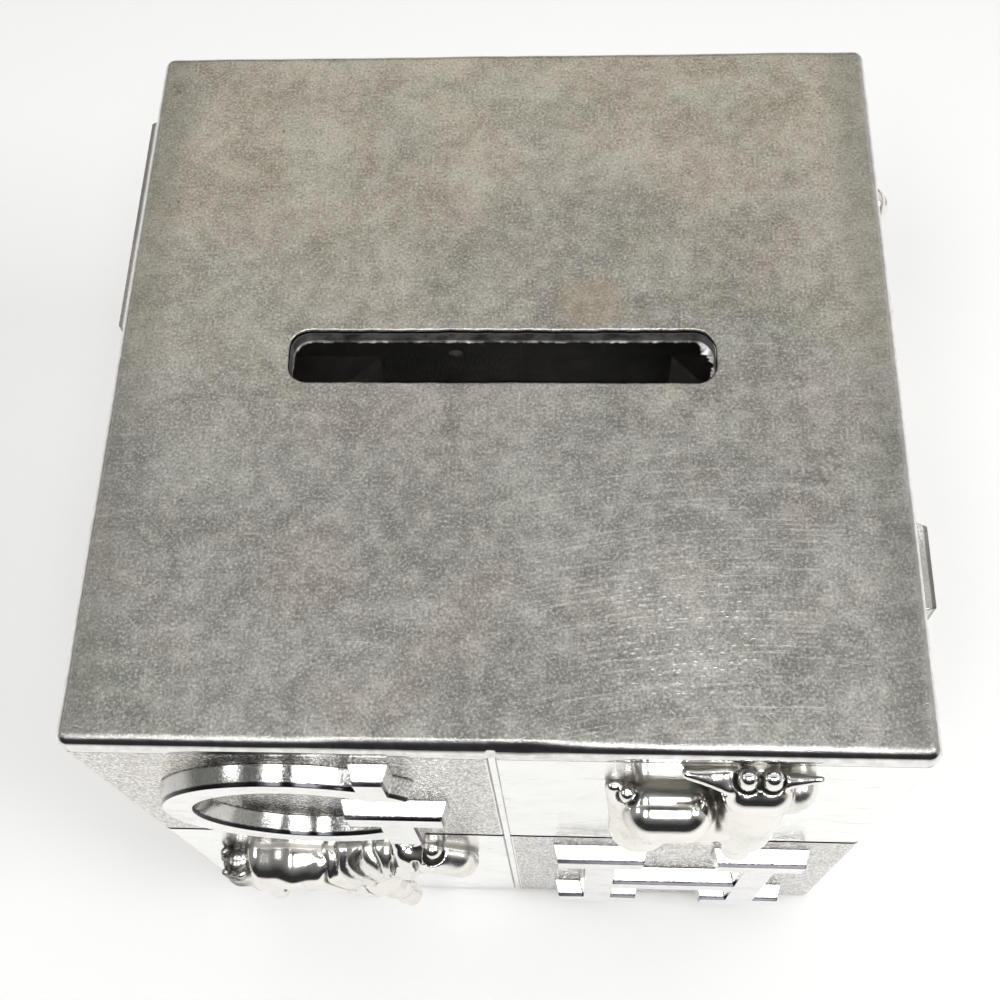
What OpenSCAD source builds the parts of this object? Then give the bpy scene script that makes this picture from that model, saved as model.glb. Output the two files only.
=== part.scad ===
// Alphabet block coin bank: a hollow cube of cast silver-plated plates. Each side is quartered
// by grooves and carries two slab-serif letters and the two animals that go with them.
// The frame is +Z up, with its origin on the table at the block's middle, and -Y is the G and H side.

/* [Block] */
// Length of the cube's edges
block_w = 76; // [72:0.5:92]
// Thickness of the four side plates
panel_t = 2.4; // [1.8:0.1:3.2]
// Thickness of the top plate
top_t = 2.4; // [1.8:0.1:3.2]
// Radius of the upright corners
corner_r = 1.2; // [0.6:0.1:2]
// Radius of the top plate's upper edge
arris_r = 1.2; // [0.4:0.1:1.6]
// Height of the rim that centres the top plate inside the sides
rim_h = 2; // [1.2:0.1:4]
// Wall of that rim
rim_t = 1.6; // [1:0.1:2.4]
// Clearance of the rim and of the base plate inside the sides
fit_gap = 0.1; // [0.05:0.01:0.2]

/* [Coin slot] */
// Clear length of the slot
slot_l = 41.4; // [36:0.2:46]
// Clear width of the slot
slot_w = 5.6; // [4.6:0.1:7]
// Radius of the slot's corners
slot_r = 2; // [0.8:0.1:2.2]
// Width and depth of the sloped lip round the slot
lip = 0.5; // [0.2:0.05:0.9]
// Distance of the slot behind the middle of the top
slot_back = 0.3; // [0:0.1:4]

/* [Grooves] */
// Width of the grooves that quarter each side
groove_w = 0.9; // [0.7:0.05:1.6]
// Depth of the grooves
groove_d = 0.2; // [0.1:0.05:0.6]
// Width of a groove's floor
groove_floor = 0.6; // [0.3:0.05:0.65]

/* [Letters] */
// Height of a letter
letter_height = 28; // [22:0.5:31]
// Width of a letter over its serifs
letter_width = 27; // [23:0.5:31]
// Distance that a letter stands out of its side
letter_out = 2; // [1:0.1:3.2]
// Widening of a stroke from its face down to its foot, on each side
draft = 0.55; // [0.1:0.05:0.9]
// Width of the upright strokes
stem_w = 3.3; // [2.6:0.1:4.2]
// Length of the flat serifs at the ends of the stems
serif_l = 9.4; // [7.5:0.1:10.4]
// Height of the level strokes and flat serifs
bar_t = 3.2; // [2.6:0.1:4]
// Width of the upright serifs at the ends of arms and curves
beak_w = 2.6; // [2:0.1:3.4]
// Height of those upright serifs
beak_h = 6.4; // [5:0.1:8]
// Width of the curved strokes
curve_w = 2.8; // [2.4:0.1:3.6]

/* [Animals] */
// Length of the longest animal
animal_l = 31; // [25:0.5:33]
// Flattening of the animals, as a share of their full round depth
animal_flat = 0.6; // [0.4:0.02:0.8]

/* [Pegs] */
// Diameter of the pegs that locate letters and animals
peg_d = 2; // [1.4:0.1:2.2]
// Radial clearance of a peg or a tapped hole
peg_gap = 0.05; // [0.03:0.01:0.1]

/* [Base] */
// Thickness of the base plate
base_t = 2; // [1.8:0.1:3]
// Depth of the base plate's face inside the sides' lower edge
base_recess = 1; // [0.6:0.1:1.4]
// Length of a corner lug's two legs
lug_leg = 14; // [12:0.5:16]
// Height of a corner lug
lug_h = 8; // [7.5:0.5:14]
// Diameter of the screws
screw_d = 2.5; // [2:0.1:3]
// Length of a screw's shank below its head
screw_l = 6; // [4:0.5:6.5]
// Diameter of a screw's head
head_d = 4.8; // [4:0.1:5.4]
// Distance of a screw's axis from both sides' inner faces
screw_in = 4.2; // [3.8:0.1:5]
// Diameter of the felt feet
foot_d = 8; // [6:0.5:9]
// Distance of a foot's middle from both sides' inner faces
foot_in = 9.6; // [9.2:0.1:11]

/* [Stopper] */
// Diameter of the hole that lets the coins out
hole_d = 40; // [34:0.5:44]
// Radial clearance of the stopper in its hole
stopper_gap = 0.05; // [0.02:0.01:0.08]
// Distance that the flange reaches past the hole's edge
flange_lip = 2.5; // [1.5:0.1:4]
// Thickness of the flange
flange_t = 1.2; // [0.8:0.1:1.6]
// Clearance between the flange and the table
flange_gap = 0.4; // [0.3:0.1:1]
// Height of the plug over its flange
plug_h = 7; // [5:0.5:10]
// Wall of the hollow plug
plug_wall = 2.4; // [1.6:0.1:3.4]
// Thickness of the plug's floor
floor_t = 1.6; // [1:0.1:2.4]
// Length of the taper that leads the plug into the hole
taper = 1; // [0.5:0.1:1.6]
// Radius of the finger recess under the stopper
pull_r = 9; // [8:0.5:11]
// Depth of the finger recess
pull_depth = 4.4; // [4.2:0.1:5.6]
// Width of the bar across the finger recess
pull_bar = 2.6; // [2:0.1:3.6]
// Thickness of that bar
pull_bar_t = 1.8; // [1.4:0.1:2.4]

/* [Hidden] */

$fn = 96;
eps = 0.01;
half = block_w / 2;
quarter = block_w / 4;
// Height of the block's lower edge over the table: the feet keep the flange off it
stand = flange_t + flange_gap - base_recess;
panel_h = block_w - top_t;
inner_w = block_w - 2 * panel_t;
// Undersides and tops, over the table
base_z = stand + base_recess;
lug_z = base_z + base_t;
rim_z = stand + panel_h - rim_h;
// Middles of the screws and feet along both axes
screw_at = inner_w / 2 - screw_in;
foot_at = inner_w / 2 - foot_in;
hole_r = hole_d / 2;
plug_r = hole_r - stopper_gap;

// The sides, counted from the front round to the left
FRONT = 0;
RIGHT = 1;
BACK = 2;
LEFT = 3;

// Letter metrics, from the middle of a letter
up = letter_height / 2;
wide = letter_width / 2;
// Middle of a left or right stem, centred over its flat serif
stem_at = wide - serif_l / 2;
// Round letters: how far they stay inside the height, and their beaks inside the width
round_in = 0.7;
beak_in = 4.2;
round_r = up - round_in;
beak_at = wide - beak_in;
// How far a G's spur stands outside its beak
spur_out = 1;
// The letters' middle bars sit a little low, and an A's lower still
bar_y = -1.4;
cross_drop = 1;
// The two bowls of a B meet at this height, and both stay inside the width
waist_y = 0.8;
upper_r = (up - waist_y + bar_t / 2) / 2;
lower_r = (up + waist_y + bar_t / 2) / 2;
upper_in = 3.4;
lower_in = 1.6;
// A D's bowl, and the arms of an E or F, inside the width
bowl_in = 1;
arm_in = 1;
middle_arm_in = 6;
// An A's legs lean in from their serifs to its flat top
apex_w = 8;
lean_top = 1.2;
lean_foot = up - bar_t / 2;
lean = atan((stem_at - lean_top) / (2 * lean_foot));
leg_l = 2 * lean_foot / cos(lean);

// Places of the pegs under each letter, from its middle
PEGS_A = [[-stem_at, bar_t / 2 - up], [stem_at, bar_t / 2 - up]];
PEGS_STEM = [[-stem_at, up / 2], [-stem_at, -up / 2]];
PEGS_C = [[-round_r + curve_w / 2, 0], [0, curve_w / 2 - round_r]];
PEGS_H = [[-stem_at, up / 2], [stem_at, -up / 2]];
// Animals are drawn on a grid that is 31 steps long
grid = animal_l / 31;
// Places of the pegs under each animal, from its middle, on that grid
PEGS_LOW = [[-6, 0], [4, 0]];
PEGS_TALL = [[0, -5], [0, 3]];
PEGS_GIRAFFE = [[-3, 3], [4, 1]];
PEGS_HORSE = [[-9, 3], [0, 2]];

// What each side carries: letter pegs and animal pegs of the upper left, upper right,
// lower left and lower right quarters
function side_pegs(side) =
    side == FRONT ? [PEGS_C, PEGS_GIRAFFE, PEGS_HORSE, PEGS_H] :
    side == RIGHT ? [PEGS_A, PEGS_LOW, PEGS_TALL, PEGS_STEM] :
    side == BACK ? [PEGS_C, PEGS_TALL, PEGS_LOW, PEGS_STEM] :
    [PEGS_STEM, PEGS_LOW, PEGS_LOW, PEGS_STEM];

// Colours
silver = [0.80, 0.79, 0.76];
polished = [0.90, 0.89, 0.87];
dull = [0.58, 0.57, 0.54];
dark = [0.12, 0.12, 0.12];
felt = [0.20, 0.30, 0.24];

// Flat shapes and frames of reference

module rounded(w, h, r) {
    square([w - 2 * r, h], center = true);
    square([w, h - 2 * r], center = true);
    for (x = [-1, 1], y = [-1, 1]) translate([x * (w / 2 - r), y * (h / 2 - r)]) circle(r);
}

// A side's own frame: x to the right, y up from the middle of the side, z out of it
module on_side(side) {
    rotate([0, 0, 90 * side]) translate([0, -half, stand + half]) rotate([90, 0, 0]) children();
}

// The middle of a quarter of a side: right and up are -1 or 1
module on_quarter(side, right, top) {
    on_side(side) translate([right * quarter, top * quarter, 0]) children();
}

module four_corners() {
    for (turn = [0 : 90 : 270]) rotate([0, 0, turn]) children();
}

// A straight groove along y, cut from the side's face
module groove() {
    rotate([90, 0, 0]) linear_extrude(block_w + 2, center = true)
        polygon([[-groove_w / 2, 1], [groove_w / 2, 1], [groove_w / 2, 0],
            [groove_floor / 2, -groove_d], [-groove_floor / 2, -groove_d], [-groove_w / 2, 0]]);
}

// Plates of the cube

module panel(side) {
    difference() {
        rotate([0, 0, 90 * side]) translate([0, 0, stand]) intersection() {
            linear_extrude(panel_h) polygon([[-half, -half], [half, -half],
                [half - panel_t, panel_t - half], [panel_t - half, panel_t - half]]);
            linear_extrude(panel_h) rounded(block_w, block_w, corner_r);
        }
        on_side(side) {
            groove();
            rotate([0, 0, 90]) groove();
        }
        for (i = [0 : 3], step = [i == 1 || i == 2 ? grid : 1])
            on_quarter(side, i % 2 == 0 ? -1 : 1, i < 2 ? 1 : -1)
                for (p = side_pegs(side)[i]) translate([p[0] * step, p[1] * step, -panel_t - 1])
                    cylinder(d = peg_d + 2 * peg_gap, h = panel_t + 2);
    }
}

module front_panel() color(silver) panel(FRONT);
module right_panel() color(silver) panel(RIGHT);
module back_panel() color(silver) panel(BACK);
module left_panel() color(silver) panel(LEFT);

// The top plate's section, with its two upper edges rounded
module arris_section() {
    translate([-half, 0]) square([block_w, top_t - arris_r]);
    translate([arris_r - half, 0]) square([block_w - 2 * arris_r, top_t]);
    for (x = [-1, 1]) translate([x * (half - arris_r), top_t - arris_r]) circle(arris_r);
}

// Flared mouth of the slot: it starts at the slot's outline and widens upwards
module flare() {
    rise = lip + eps;
    run_l = slot_l - 2 * slot_r;
    run_w = slot_w - 2 * slot_r;
    for (x = [-1, 1], y = [-1, 1]) translate([x * run_l / 2, y * run_w / 2, 0])
        cylinder(h = rise, r1 = slot_r, r2 = slot_r + rise);
    rotate([90, 0, 90]) linear_extrude(run_l, center = true)
        polygon([[-slot_w / 2, 0], [slot_w / 2, 0], [slot_w / 2 + rise, rise], [-slot_w / 2 - rise, rise]]);
    rotate([90, 0, 0]) linear_extrude(run_w, center = true)
        polygon([[-slot_l / 2, 0], [slot_l / 2, 0], [slot_l / 2 + rise, rise], [-slot_l / 2 - rise, rise]]);
}

module top_plate() {
    rim_w = inner_w - 2 * fit_gap;
    color(dull) difference() {
        union() {
            translate([0, 0, stand + panel_h]) intersection() {
                linear_extrude(top_t) rounded(block_w, block_w, corner_r);
                rotate([90, 0, 0]) linear_extrude(block_w, center = true) arris_section();
                rotate([90, 0, 90]) linear_extrude(block_w, center = true) arris_section();
            }
            translate([0, 0, rim_z]) linear_extrude(rim_h) difference() {
                square(rim_w, center = true);
                square(rim_w - 2 * rim_t, center = true);
            }
        }
        translate([0, slot_back, stand + panel_h - 1]) linear_extrude(top_t + 2)
            rounded(slot_l, slot_w, slot_r);
        translate([0, slot_back, stand + block_w - lip]) flare();
        for (side = [FRONT : LEFT]) on_side(side) groove();
    }
}

// Letters, in the frame of their quarter. Strokes are given by the edges of their faces.

// A straight stroke with sloping sides
module stroke(x0, x1, y0, y1) {
    intersection() {
        translate([0, y1 + draft, 0]) rotate([90, 0, 0]) linear_extrude(y1 - y0 + 2 * draft)
            polygon([[x0 - draft, 0], [x1 + draft, 0], [x1, letter_out], [x0, letter_out]]);
        translate([x0 - draft, 0, 0]) rotate([90, 0, 90]) linear_extrude(x1 - x0 + 2 * draft)
            polygon([[y0 - draft, 0], [y1 + draft, 0], [y1, letter_out], [y0, letter_out]]);
    }
}

// A round stroke with sloping sides, between two radii of its face
module ring(r_out, r_in) {
    rise = draft * eps / letter_out;
    difference() {
        cylinder(h = letter_out, r1 = r_out + draft, r2 = r_out);
        translate([0, 0, -eps]) cylinder(h = letter_out + 2 * eps, r1 = r_in - draft - rise, r2 = r_in + rise);
    }
}

// The part of its children between two widths and two heights
module window(x0, x1, y0, y1) {
    intersection() {
        children();
        translate([x0, y0, -1]) cube([x1 - x0, y1 - y0, letter_out + 2]);
    }
}

module stem(x) stroke(x - stem_w / 2, x + stem_w / 2, -up + eps, up - eps);
module flat_serif(x, y) stroke(x - serif_l / 2, x + serif_l / 2, y > 0 ? y - bar_t : y, y > 0 ? y : y + bar_t);
// An upright serif that ends at x, and hangs from or stands on y
module beak(x, y) stroke(x - beak_w, x, y > 0 ? y - beak_h : y, y > 0 ? y : y + beak_h);

// A letter's body on its pegs, in its quarter of a side
module letter(side, first, pegs) {
    color(silver) on_quarter(side, first ? -1 : 1, first ? 1 : -1) {
        children();
        for (p = pegs) translate([p[0], p[1], -panel_t]) cylinder(d = peg_d, h = panel_t + letter_out / 2);
    }
}

module letter_a() letter(RIGHT, true, PEGS_A) {
    stroke(-apex_w / 2, apex_w / 2, up - bar_t, up);
    for (s = [-1, 1]) {
        flat_serif(s * stem_at, -up);
        translate([s * (stem_at + lean_top) / 2, 0, 0]) rotate([0, 0, s * lean])
            stroke(-stem_w / 2, stem_w / 2, -leg_l / 2, leg_l / 2);
    }
    stroke(-stem_at * 0.75, stem_at * 0.75, bar_y - bar_t - cross_drop, bar_y - cross_drop);
}

// A right-hand half ring and the two level strokes that join it to the stem
module bowl(x, y, r) {
    translate([x, y, 0]) window(0, r + 2, -r - 2, r + 2) ring(r, r - bar_t);
    for (level = [y - r, y + r - bar_t]) stroke(-stem_at, x + draft, level, level + bar_t);
}

module letter_b() letter(RIGHT, false, PEGS_STEM) {
    stem(-stem_at);
    flat_serif(-stem_at, up);
    flat_serif(-stem_at, -up);
    bowl(wide - upper_r - upper_in, up - upper_r, upper_r);
    bowl(wide - lower_r - lower_in, lower_r - up, lower_r);
}

module letter_c() letter(BACK, true, PEGS_C) {
    difference() {
        ring(round_r, round_r - curve_w);
        translate([beak_at - beak_w / 2, beak_h - up, -1]) cube([wide, 2 * (up - beak_h), letter_out + 2]);
    }
    beak(beak_at, up);
    beak(beak_at, -up);
}

module letter_d() letter(BACK, false, PEGS_STEM) {
    stem(-stem_at);
    flat_serif(-stem_at, up);
    flat_serif(-stem_at, -up);
    bowl(wide - up - bowl_in, 0, up);
}

// The level arms of an E or F, with their upright serifs
module arms() {
    middle_arm = wide - middle_arm_in;
    stroke(-stem_at, wide - arm_in, up - bar_t, up);
    beak(wide - arm_in, up);
    stroke(-stem_at, middle_arm, bar_y - bar_t / 2, bar_y + bar_t / 2);
    stroke(middle_arm - beak_w, middle_arm, bar_y - beak_h / 2, bar_y + beak_h / 2);
}

module letter_e() letter(LEFT, true, PEGS_STEM) {
    stem(-stem_at);
    flat_serif(-stem_at, up);
    flat_serif(-stem_at, -up);
    arms();
    stroke(-stem_at, wide, -up, bar_t - up);
    beak(wide, -up);
}

module letter_f() letter(LEFT, false, PEGS_STEM) {
    stem(-stem_at);
    flat_serif(-stem_at, up);
    flat_serif(-stem_at, -up);
    arms();
}

module letter_g() letter(FRONT, true, PEGS_C) {
    spur = beak_at + spur_out;
    difference() {
        ring(round_r, round_r - curve_w);
        translate([beak_at - beak_w / 2, bar_y, -1]) cube([wide, up - beak_h - bar_y, letter_out + 2]);
        translate([spur, -up, -1]) cube([wide, up, letter_out + 2]);
    }
    beak(beak_at, up);
    stroke(spur - stem_w, spur, -up, bar_y);
    stroke(spur - stem_w / 2 - serif_l / 2, spur - stem_w / 2 + serif_l / 2, bar_y - bar_t, bar_y);
}

module letter_h() letter(FRONT, false, PEGS_H) {
    for (s = [-1, 1]) {
        stem(s * stem_at);
        flat_serif(s * stem_at, up);
        flat_serif(s * stem_at, -up);
    }
    stroke(-stem_at, stem_at, bar_y - bar_t / 2, bar_y + bar_t / 2);
}

// Animals, in the frame of their quarter. The six that the photo hides are drawn in the round
// and then flattened, and of all of them the half behind the side is cut away.

module limb(a, ra, b, rb, deep = 1) {
    hull() {
        translate(a) scale([1, 1, deep]) sphere(ra, $fn = 12);
        translate(b) scale([1, 1, deep]) sphere(rb, $fn = 12);
    }
}

module animal(side, first, pegs, flat = animal_flat) {
    color(polished) on_quarter(side, first ? 1 : -1, first ? 1 : -1) {
        intersection() {
            scale(grid) scale([1, 1, flat]) children();
            translate([-quarter, -quarter, 0]) cube([2 * quarter, 2 * quarter, quarter]);
        }
        for (p = pegs) translate([p[0] * grid, p[1] * grid, -panel_t]) cylinder(d = peg_d, h = panel_t + 1);
    }
}

module alligator() animal(RIGHT, true, PEGS_LOW) {
    union() {
        limb([-5.4, 3, 0.8], 5.3, [1.4, 3, 0.8], 4.8); // body
        limb([1.4, 3.2, 0.8], 4.2, [7, 4.4, 1.2], 3.5); // neck and skull
        limb([7, 4.2, 1.4], 2.8, [14, 2.9, 1.2], 1.25); // jaws
        limb([7, 2.8, 1], 2.4, [13.6, 1, 0.8], 1.05);
        limb([6.2, 7.9, 3.2], 2, [5.8, 7.5, 3.2], 2); // brow
        limb([-5.6, 3, 0.6], 4.4, [-11.8, 4.6, 0.6], 2.6); // root of the tail
        limb([-11.8, 4.6, 0.6], 2.6, [-13.4, 9.4, 0.6], 1.4); // bend of the tail
        limb([-13.4, 9.4, 0.6], 1.4, [-10.4, 12.4, 0.6], 0.8); // tip of the tail
        limb([-6.4, 0, 2], 2.5, [-8.4, -5.4, 2], 1.6); // hind leg
        limb([-8.4, -5.4, 2], 1.5, [-5.4, -6.8, 2.2], 1.2); // hind foot
        limb([2.6, 0, 2], 2.2, [1.8, -5.4, 2], 1.5); // foreleg
        limb([1.8, -5.4, 2], 1.4, [4.8, -6.8, 2.2], 1.2); // forefoot
        for (i = [0 : 3]) limb([-9 + 3 * i, 7.4, 1.4], 1.3, [-9 + 3 * i, 8.9, 1.4], 0.7); // back ridges
        limb([-14.2, 7.4, 0.8], 0.9, [-15, 8.2, 0.8], 0.4); // ridges of the tail
        limb([-13.8, 10.6, 0.8], 0.8, [-14.2, 11.6, 0.8], 0.4);
    }
}

module bear() animal(RIGHT, false, PEGS_TALL) {
    union() {
        limb([0, -5.5, 0.4], 5.2, [0, 0, 0.4], 4.6); // belly and chest
        limb([0, 7.4, 0.8], 4.3, [0, 7, 0.8], 4.4); // head
        limb([0, 6, 2.6], 2.3, [0, 5.8, 3.8], 1.6); // muzzle
        limb([-3.6, 10.8, 1], 1.7, [-3.6, 10.9, 1.2], 1.7); // ears
        limb([3.6, 10.8, 1], 1.7, [3.6, 10.9, 1.2], 1.7);
        limb([-4, 1.2, 1], 2.1, [-7.4, -3.6, 1.8], 1.8); // arms
        limb([4, 1.2, 1], 2.1, [7.4, -3.6, 1.8], 1.8);
        limb([-3.6, -8.2, 1.4], 2.6, [-8, -10, 2], 2.1); // legs
        limb([3.6, -8.2, 1.4], 2.6, [8, -10, 2], 2.1);
        limb([-8.4, -9.2, 2.2], 2, [-8.6, -11, 2.2], 1.6); // soles
        limb([8.4, -9.2, 2.2], 2, [8.6, -11, 2.2], 1.6);
    }
}

module cat() animal(BACK, true, PEGS_TALL) {
    union() {
        limb([-1, -6.5, 0.4], 5.6, [1, 0, 0.4], 4.2); // haunch and chest
        limb([1, 0, 0.6], 3.6, [1.6, 6.4, 0.8], 3.2); // neck
        limb([1.6, 7.6, 1], 3.9, [2, 7.2, 1.4], 3.8); // head
        limb([2, 5.9, 3.4], 1.5, [2.7, 5.8, 3.9], 1.2); // muzzle
        limb([-0.9, 10, 1], 1.5, [-1.6, 12.8, 1], 0.6); // ears
        limb([4.2, 10, 1], 1.5, [5, 12.8, 1], 0.6);
        limb([3.4, -2, 1.4], 1.9, [4.2, -9.6, 1.6], 1.5); // forelegs
        limb([1, -3, 2.2], 1.8, [1.4, -9.8, 2.6], 1.5);
        limb([4.4, -10.6, 1.8], 1.5, [5.6, -11, 1.8], 1.3); // paws
        limb([1.6, -10.6, 2.8], 1.5, [2.8, -11, 2.8], 1.3);
        limb([-3.4, -7.6, 1.6], 3.6, [-2.6, -9.6, 2], 2.6); // thigh
        limb([-5, -10.6, 0.8], 1.6, [-9, -8, 0.8], 1.3); // tail
        limb([-9, -8, 0.8], 1.3, [-9.4, -3, 0.8], 1.1);
    }
}

module duck() animal(BACK, false, PEGS_LOW) {
    union() {
        limb([-4, -3, 0.4], 5.6, [3, -3.4, 0.4], 5.2); // body
        limb([-6, -1.6, 0.4], 4, [-12.6, 3.4, 0.6], 1.3); // tail
        limb([4.6, -2, 0.4], 4.2, [6.4, 4, 0.6], 2.8); // neck
        limb([6.8, 7, 0.8], 3.6, [7.4, 7, 1], 3.5); // head
        limb([9.6, 6.6, 1.2], 1.6, [13.4, 6.2, 1.2], 0.85); // bill
        limb([9.6, 5.8, 1.2], 1.5, [13.1, 5.1, 1.2], 0.8);
        limb([-2, -2.4, 3.2], 3.2, [-7, -1, 2.6], 1.9); // wing
        limb([2, -3, 3], 2.6, [-2, -2.4, 3.2], 3);
        limb([-1, -8, 1.4], 1.4, [0, -10.4, 2], 1.1); // feet
        limb([0, -10.6, 2], 1.1, [3, -11, 2], 0.9);
        limb([3, -8, 1], 1.3, [4.4, -10.2, 1.4], 1);
    }
}

module elephant() animal(LEFT, true, PEGS_LOW) {
    union() {
        limb([-6, 1.6, 0.4], 6.6, [1, 1.8, 0.4], 6.2); // body
        limb([6.6, 4.6, 0.6], 5, [7, 3.6, 0.8], 4.8); // head
        limb([4.6, 3.4, 2.8], 3.4, [3.6, 1, 2.8], 2.4); // ear
        limb([10, 3, 1], 2.8, [12.8, -2.4, 1.2], 1.9); // trunk
        limb([12.8, -2.4, 1.2], 1.9, [12.6, -7.6, 1.4], 1.3);
        limb([12.6, -7.6, 1.4], 1.3, [14.4, -9.6, 1.4], 1);
        limb([9, 0.4, 2.2], 0.9, [11.6, -1, 3], 0.6); // tusk
        limb([-9, -2, 1.2], 3.2, [-9.4, -9.6, 1.6], 2.3); // legs
        limb([-4, -2, 0.6], 2.8, [-4.2, -9.8, 1], 2.1);
        limb([0, -2, 0.6], 2.8, [-0.2, -9.8, 1], 2.1);
        limb([4.4, -2, 1.2], 3, [4.8, -9.6, 1.6], 2.3);
        limb([-12, 3.4, 0.8], 0.9, [-13.6, -3.4, 0.8], 0.8); // tail
    }
}

module fish() animal(LEFT, false, PEGS_LOW) {
    union() {
        limb([-3, 0, 0.4], 5.4, [5, 0.2, 0.4], 5.2); // body
        limb([5, 0, 0.6], 4.6, [10.6, -0.6, 0.6], 2.5); // head
        limb([-4, 0, 0.4], 4.4, [-10, 0.4, 0.6], 2); // root of the tail
        limb([-10, 0.6, 0.8], 1.6, [-14, 5.6, 0.8], 1); // tail fin
        limb([-10, 0.2, 0.8], 1.6, [-14, -5, 0.8], 1);
        limb([-10, 0.4, 0.8], 1.8, [-12.6, 0.4, 0.8], 1.4);
        limb([-4, 4.6, 0.8], 1.6, [-1, 8.2, 0.8], 1); // back fin
        limb([-1, 8.2, 0.8], 1, [4, 5, 0.8], 1.4);
        limb([0, -4.6, 0.8], 1.5, [-3, -7.6, 0.8], 0.9); // belly fin
        limb([3, -1.4, 4.2], 1.4, [-0.8, -2.6, 4.4], 0.9); // side fin
        limb([8.4, 1.8, 3], 1.1, [8.4, 1.9, 3.2], 1.1); // eye
    }
}

module giraffe() animal(FRONT, true, PEGS_GIRAFFE, 1) {
    union() {
        limb([-4.6, 6.5, 0.2], 2.4, [1.2, 6.5, 0.2], 2.4, 1.7); // barrel
        limb([-4.6, 3.2, 0.4], 3, [1, 3.4, 0.4], 2.8, 1.35); // belly
        limb([-8.3, 7, 1.5], 0.9, [-5.9, 2.6, 2.8], 2.7, 0.75); // haunch
        limb([-7.5, 8.2, 1.4], 1.1, [-5.4, 4.2, 2.9], 2.1, 0.8);
        limb([-6.2, 1.6, 1.7], 2.3, [-6.4, -4, 0.9], 1.5); // near hind leg
        limb([-6.4, -4, 0.9], 1.5, [-6.9, -7.6, 0.7], 1.15);
        limb([-6.9, -7.6, 0.7], 1.15, [-6.2, -11.8, 0.8], 1.15);
        limb([-4.4, 0, 0.5], 1.8, [-3.6, -6.4, 0.4], 1.1); // far hind leg
        limb([-3.6, -6.4, 0.4], 1.1, [-3.6, -12, 0.5], 1.1);
        limb([2.9, 6.6, 1.5], 2.9, [4.1, -0.4, 1.9], 2.7, 0.95); // shoulder
        limb([5.2, 2.6, 1.2], 2.2, [4.9, -2.6, 1.4], 1.9); // chest
        limb([4.4, -2.6, 2], 1.9, [4.1, -7.4, 1.7], 1.35); // near foreleg
        limb([4.1, -7.4, 1.8], 1.35, [4.5, -12, 1.9], 1.3);
        limb([1.9, -1, 0.6], 1.9, [1.5, -7, 0.5], 1.2); // far foreleg
        limb([1.5, -7, 0.5], 1.2, [1.8, -12, 0.6], 1.15);
        limb([4.3, 5.4, 0.8], 3.1, [5, 9.8, 0.5], 2.7); // neck
        limb([6.3, 10.6, 0.4], 1.9, [6.7, 11.8, 0.6], 1.7); // lobe of the mane
        limb([3.9, 14.4, 0.2], 2, [4, 13.4, 0.6], 2.2); // head
        limb([2.95, 13.1, 1.4], 2.1, [5.05, 13.1, 1.4], 2.1); // muzzle
        limb([-2.1, 15, 0.5], 0.36, [1.4, 14.9, 1.2], 1); // left ear
        limb([1, 14.9, 0.6], 0.9, [2.4, 14.6, 0.8], 0.9);
        limb([9.3, 15.1, 0.8], 0.26, [6.2, 15, 0.95], 0.8); // right ear
        limb([2.95, 15.7, 1.1], 1.02, [2.95, 15.8, 1.1], 1.02); // horns
        limb([5.05, 15.7, 1.1], 1.02, [5.05, 15.85, 1.1], 1.02);
        limb([-7.1, 9, 1.05], 0.78, [-7.1, 9.15, 1.05], 0.78); // knob of the tail
    }
}

module horse() animal(FRONT, false, PEGS_HORSE, 1) {
    union() {
        limb([-9.6, 7, -0.1], 2.5, [-6, 7.2, -0.1], 2.65, 1.65); // barrel
        limb([-6, 7.2, -0.1], 2.65, [-2.2, 7, -0.1], 2.5, 1.65);
        limb([-8.8, 3, -0.1], 3.6, [-3, 2.6, -0.2], 3.5, 1.15); // belly
        limb([-12.7, 6.9, 1.5], 1.9, [-13.3, 1.2, 1.5], 2); // tail
        limb([-13.3, 1.2, 1.5], 2, [-13.6, -3.4, 1.2], 1.5);
        limb([-10.4, 1.6, 0.8], 3, [-11.2, -2.8, 1], 2.2); // rump
        limb([-11.2, -3, 1.1], 2, [-12, -7, 1.1], 1.3); // near hind leg
        limb([-12, -7, 1.1], 1.3, [-11.3, -10.8, 1.5], 1.4);
        limb([-7.6, -0.6, 0.4], 2.3, [-6.8, -6, 0.4], 1.3); // far hind leg
        limb([-6.8, -6, 0.4], 1.3, [-7.2, -11.4, 0.6], 1.25);
        limb([-0.4, 3.4, 0], 4.4, [1.6, 1, 0.6], 3.5); // chest
        limb([2.2, 1.8, 1.3], 2.9, [5, -1.2, 2.1], 1.7); // near foreleg
        limb([5, -1.2, 2.1], 1.7, [5, -6.4, 1.8], 1.2);
        limb([5, -6.4, 1.9], 1.2, [5.7, -9.4, 2.2], 1.5);
        limb([0.6, -1.6, 0.6], 2.2, [0.4, -7, 0.5], 1.3); // far foreleg
        limb([0.4, -7, 0.5], 1.3, [0.5, -11.6, 0.7], 1.25);
        limb([-0.8, 5.2, -0.5], 4.5, [5.4, 8.8, -0.2], 3.5); // neck and mane
        limb([7.3, 12, 0.7], 1.5, [7.2, 8.4, 1.4], 1.9); // cheek
        limb([8.8, 11.4, 0.3], 2.6, [12.8, 9.4, 0.4], 2.35); // head
        limb([12.6, 9.2, 0.6], 2.2, [13.4, 7.8, 0.8], 2); // muzzle
        limb([9.4, 9, 0.6], 2, [11.8, 7, 0.9], 1.5); // jaw
        limb([6.9, 12.8, 0.5], 1.1, [6.2, 14.4, 0.1], 0.4); // ears
        limb([9, 12.8, 0.5], 1, [8.8, 14.4, 0.1], 0.4);
        limb([10.4, 12.6, 0.5], 1.2, [10.4, 12.75, 0.5], 1.2); // eye
    }
}

// Base, lugs, screws, stopper and feet

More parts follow.
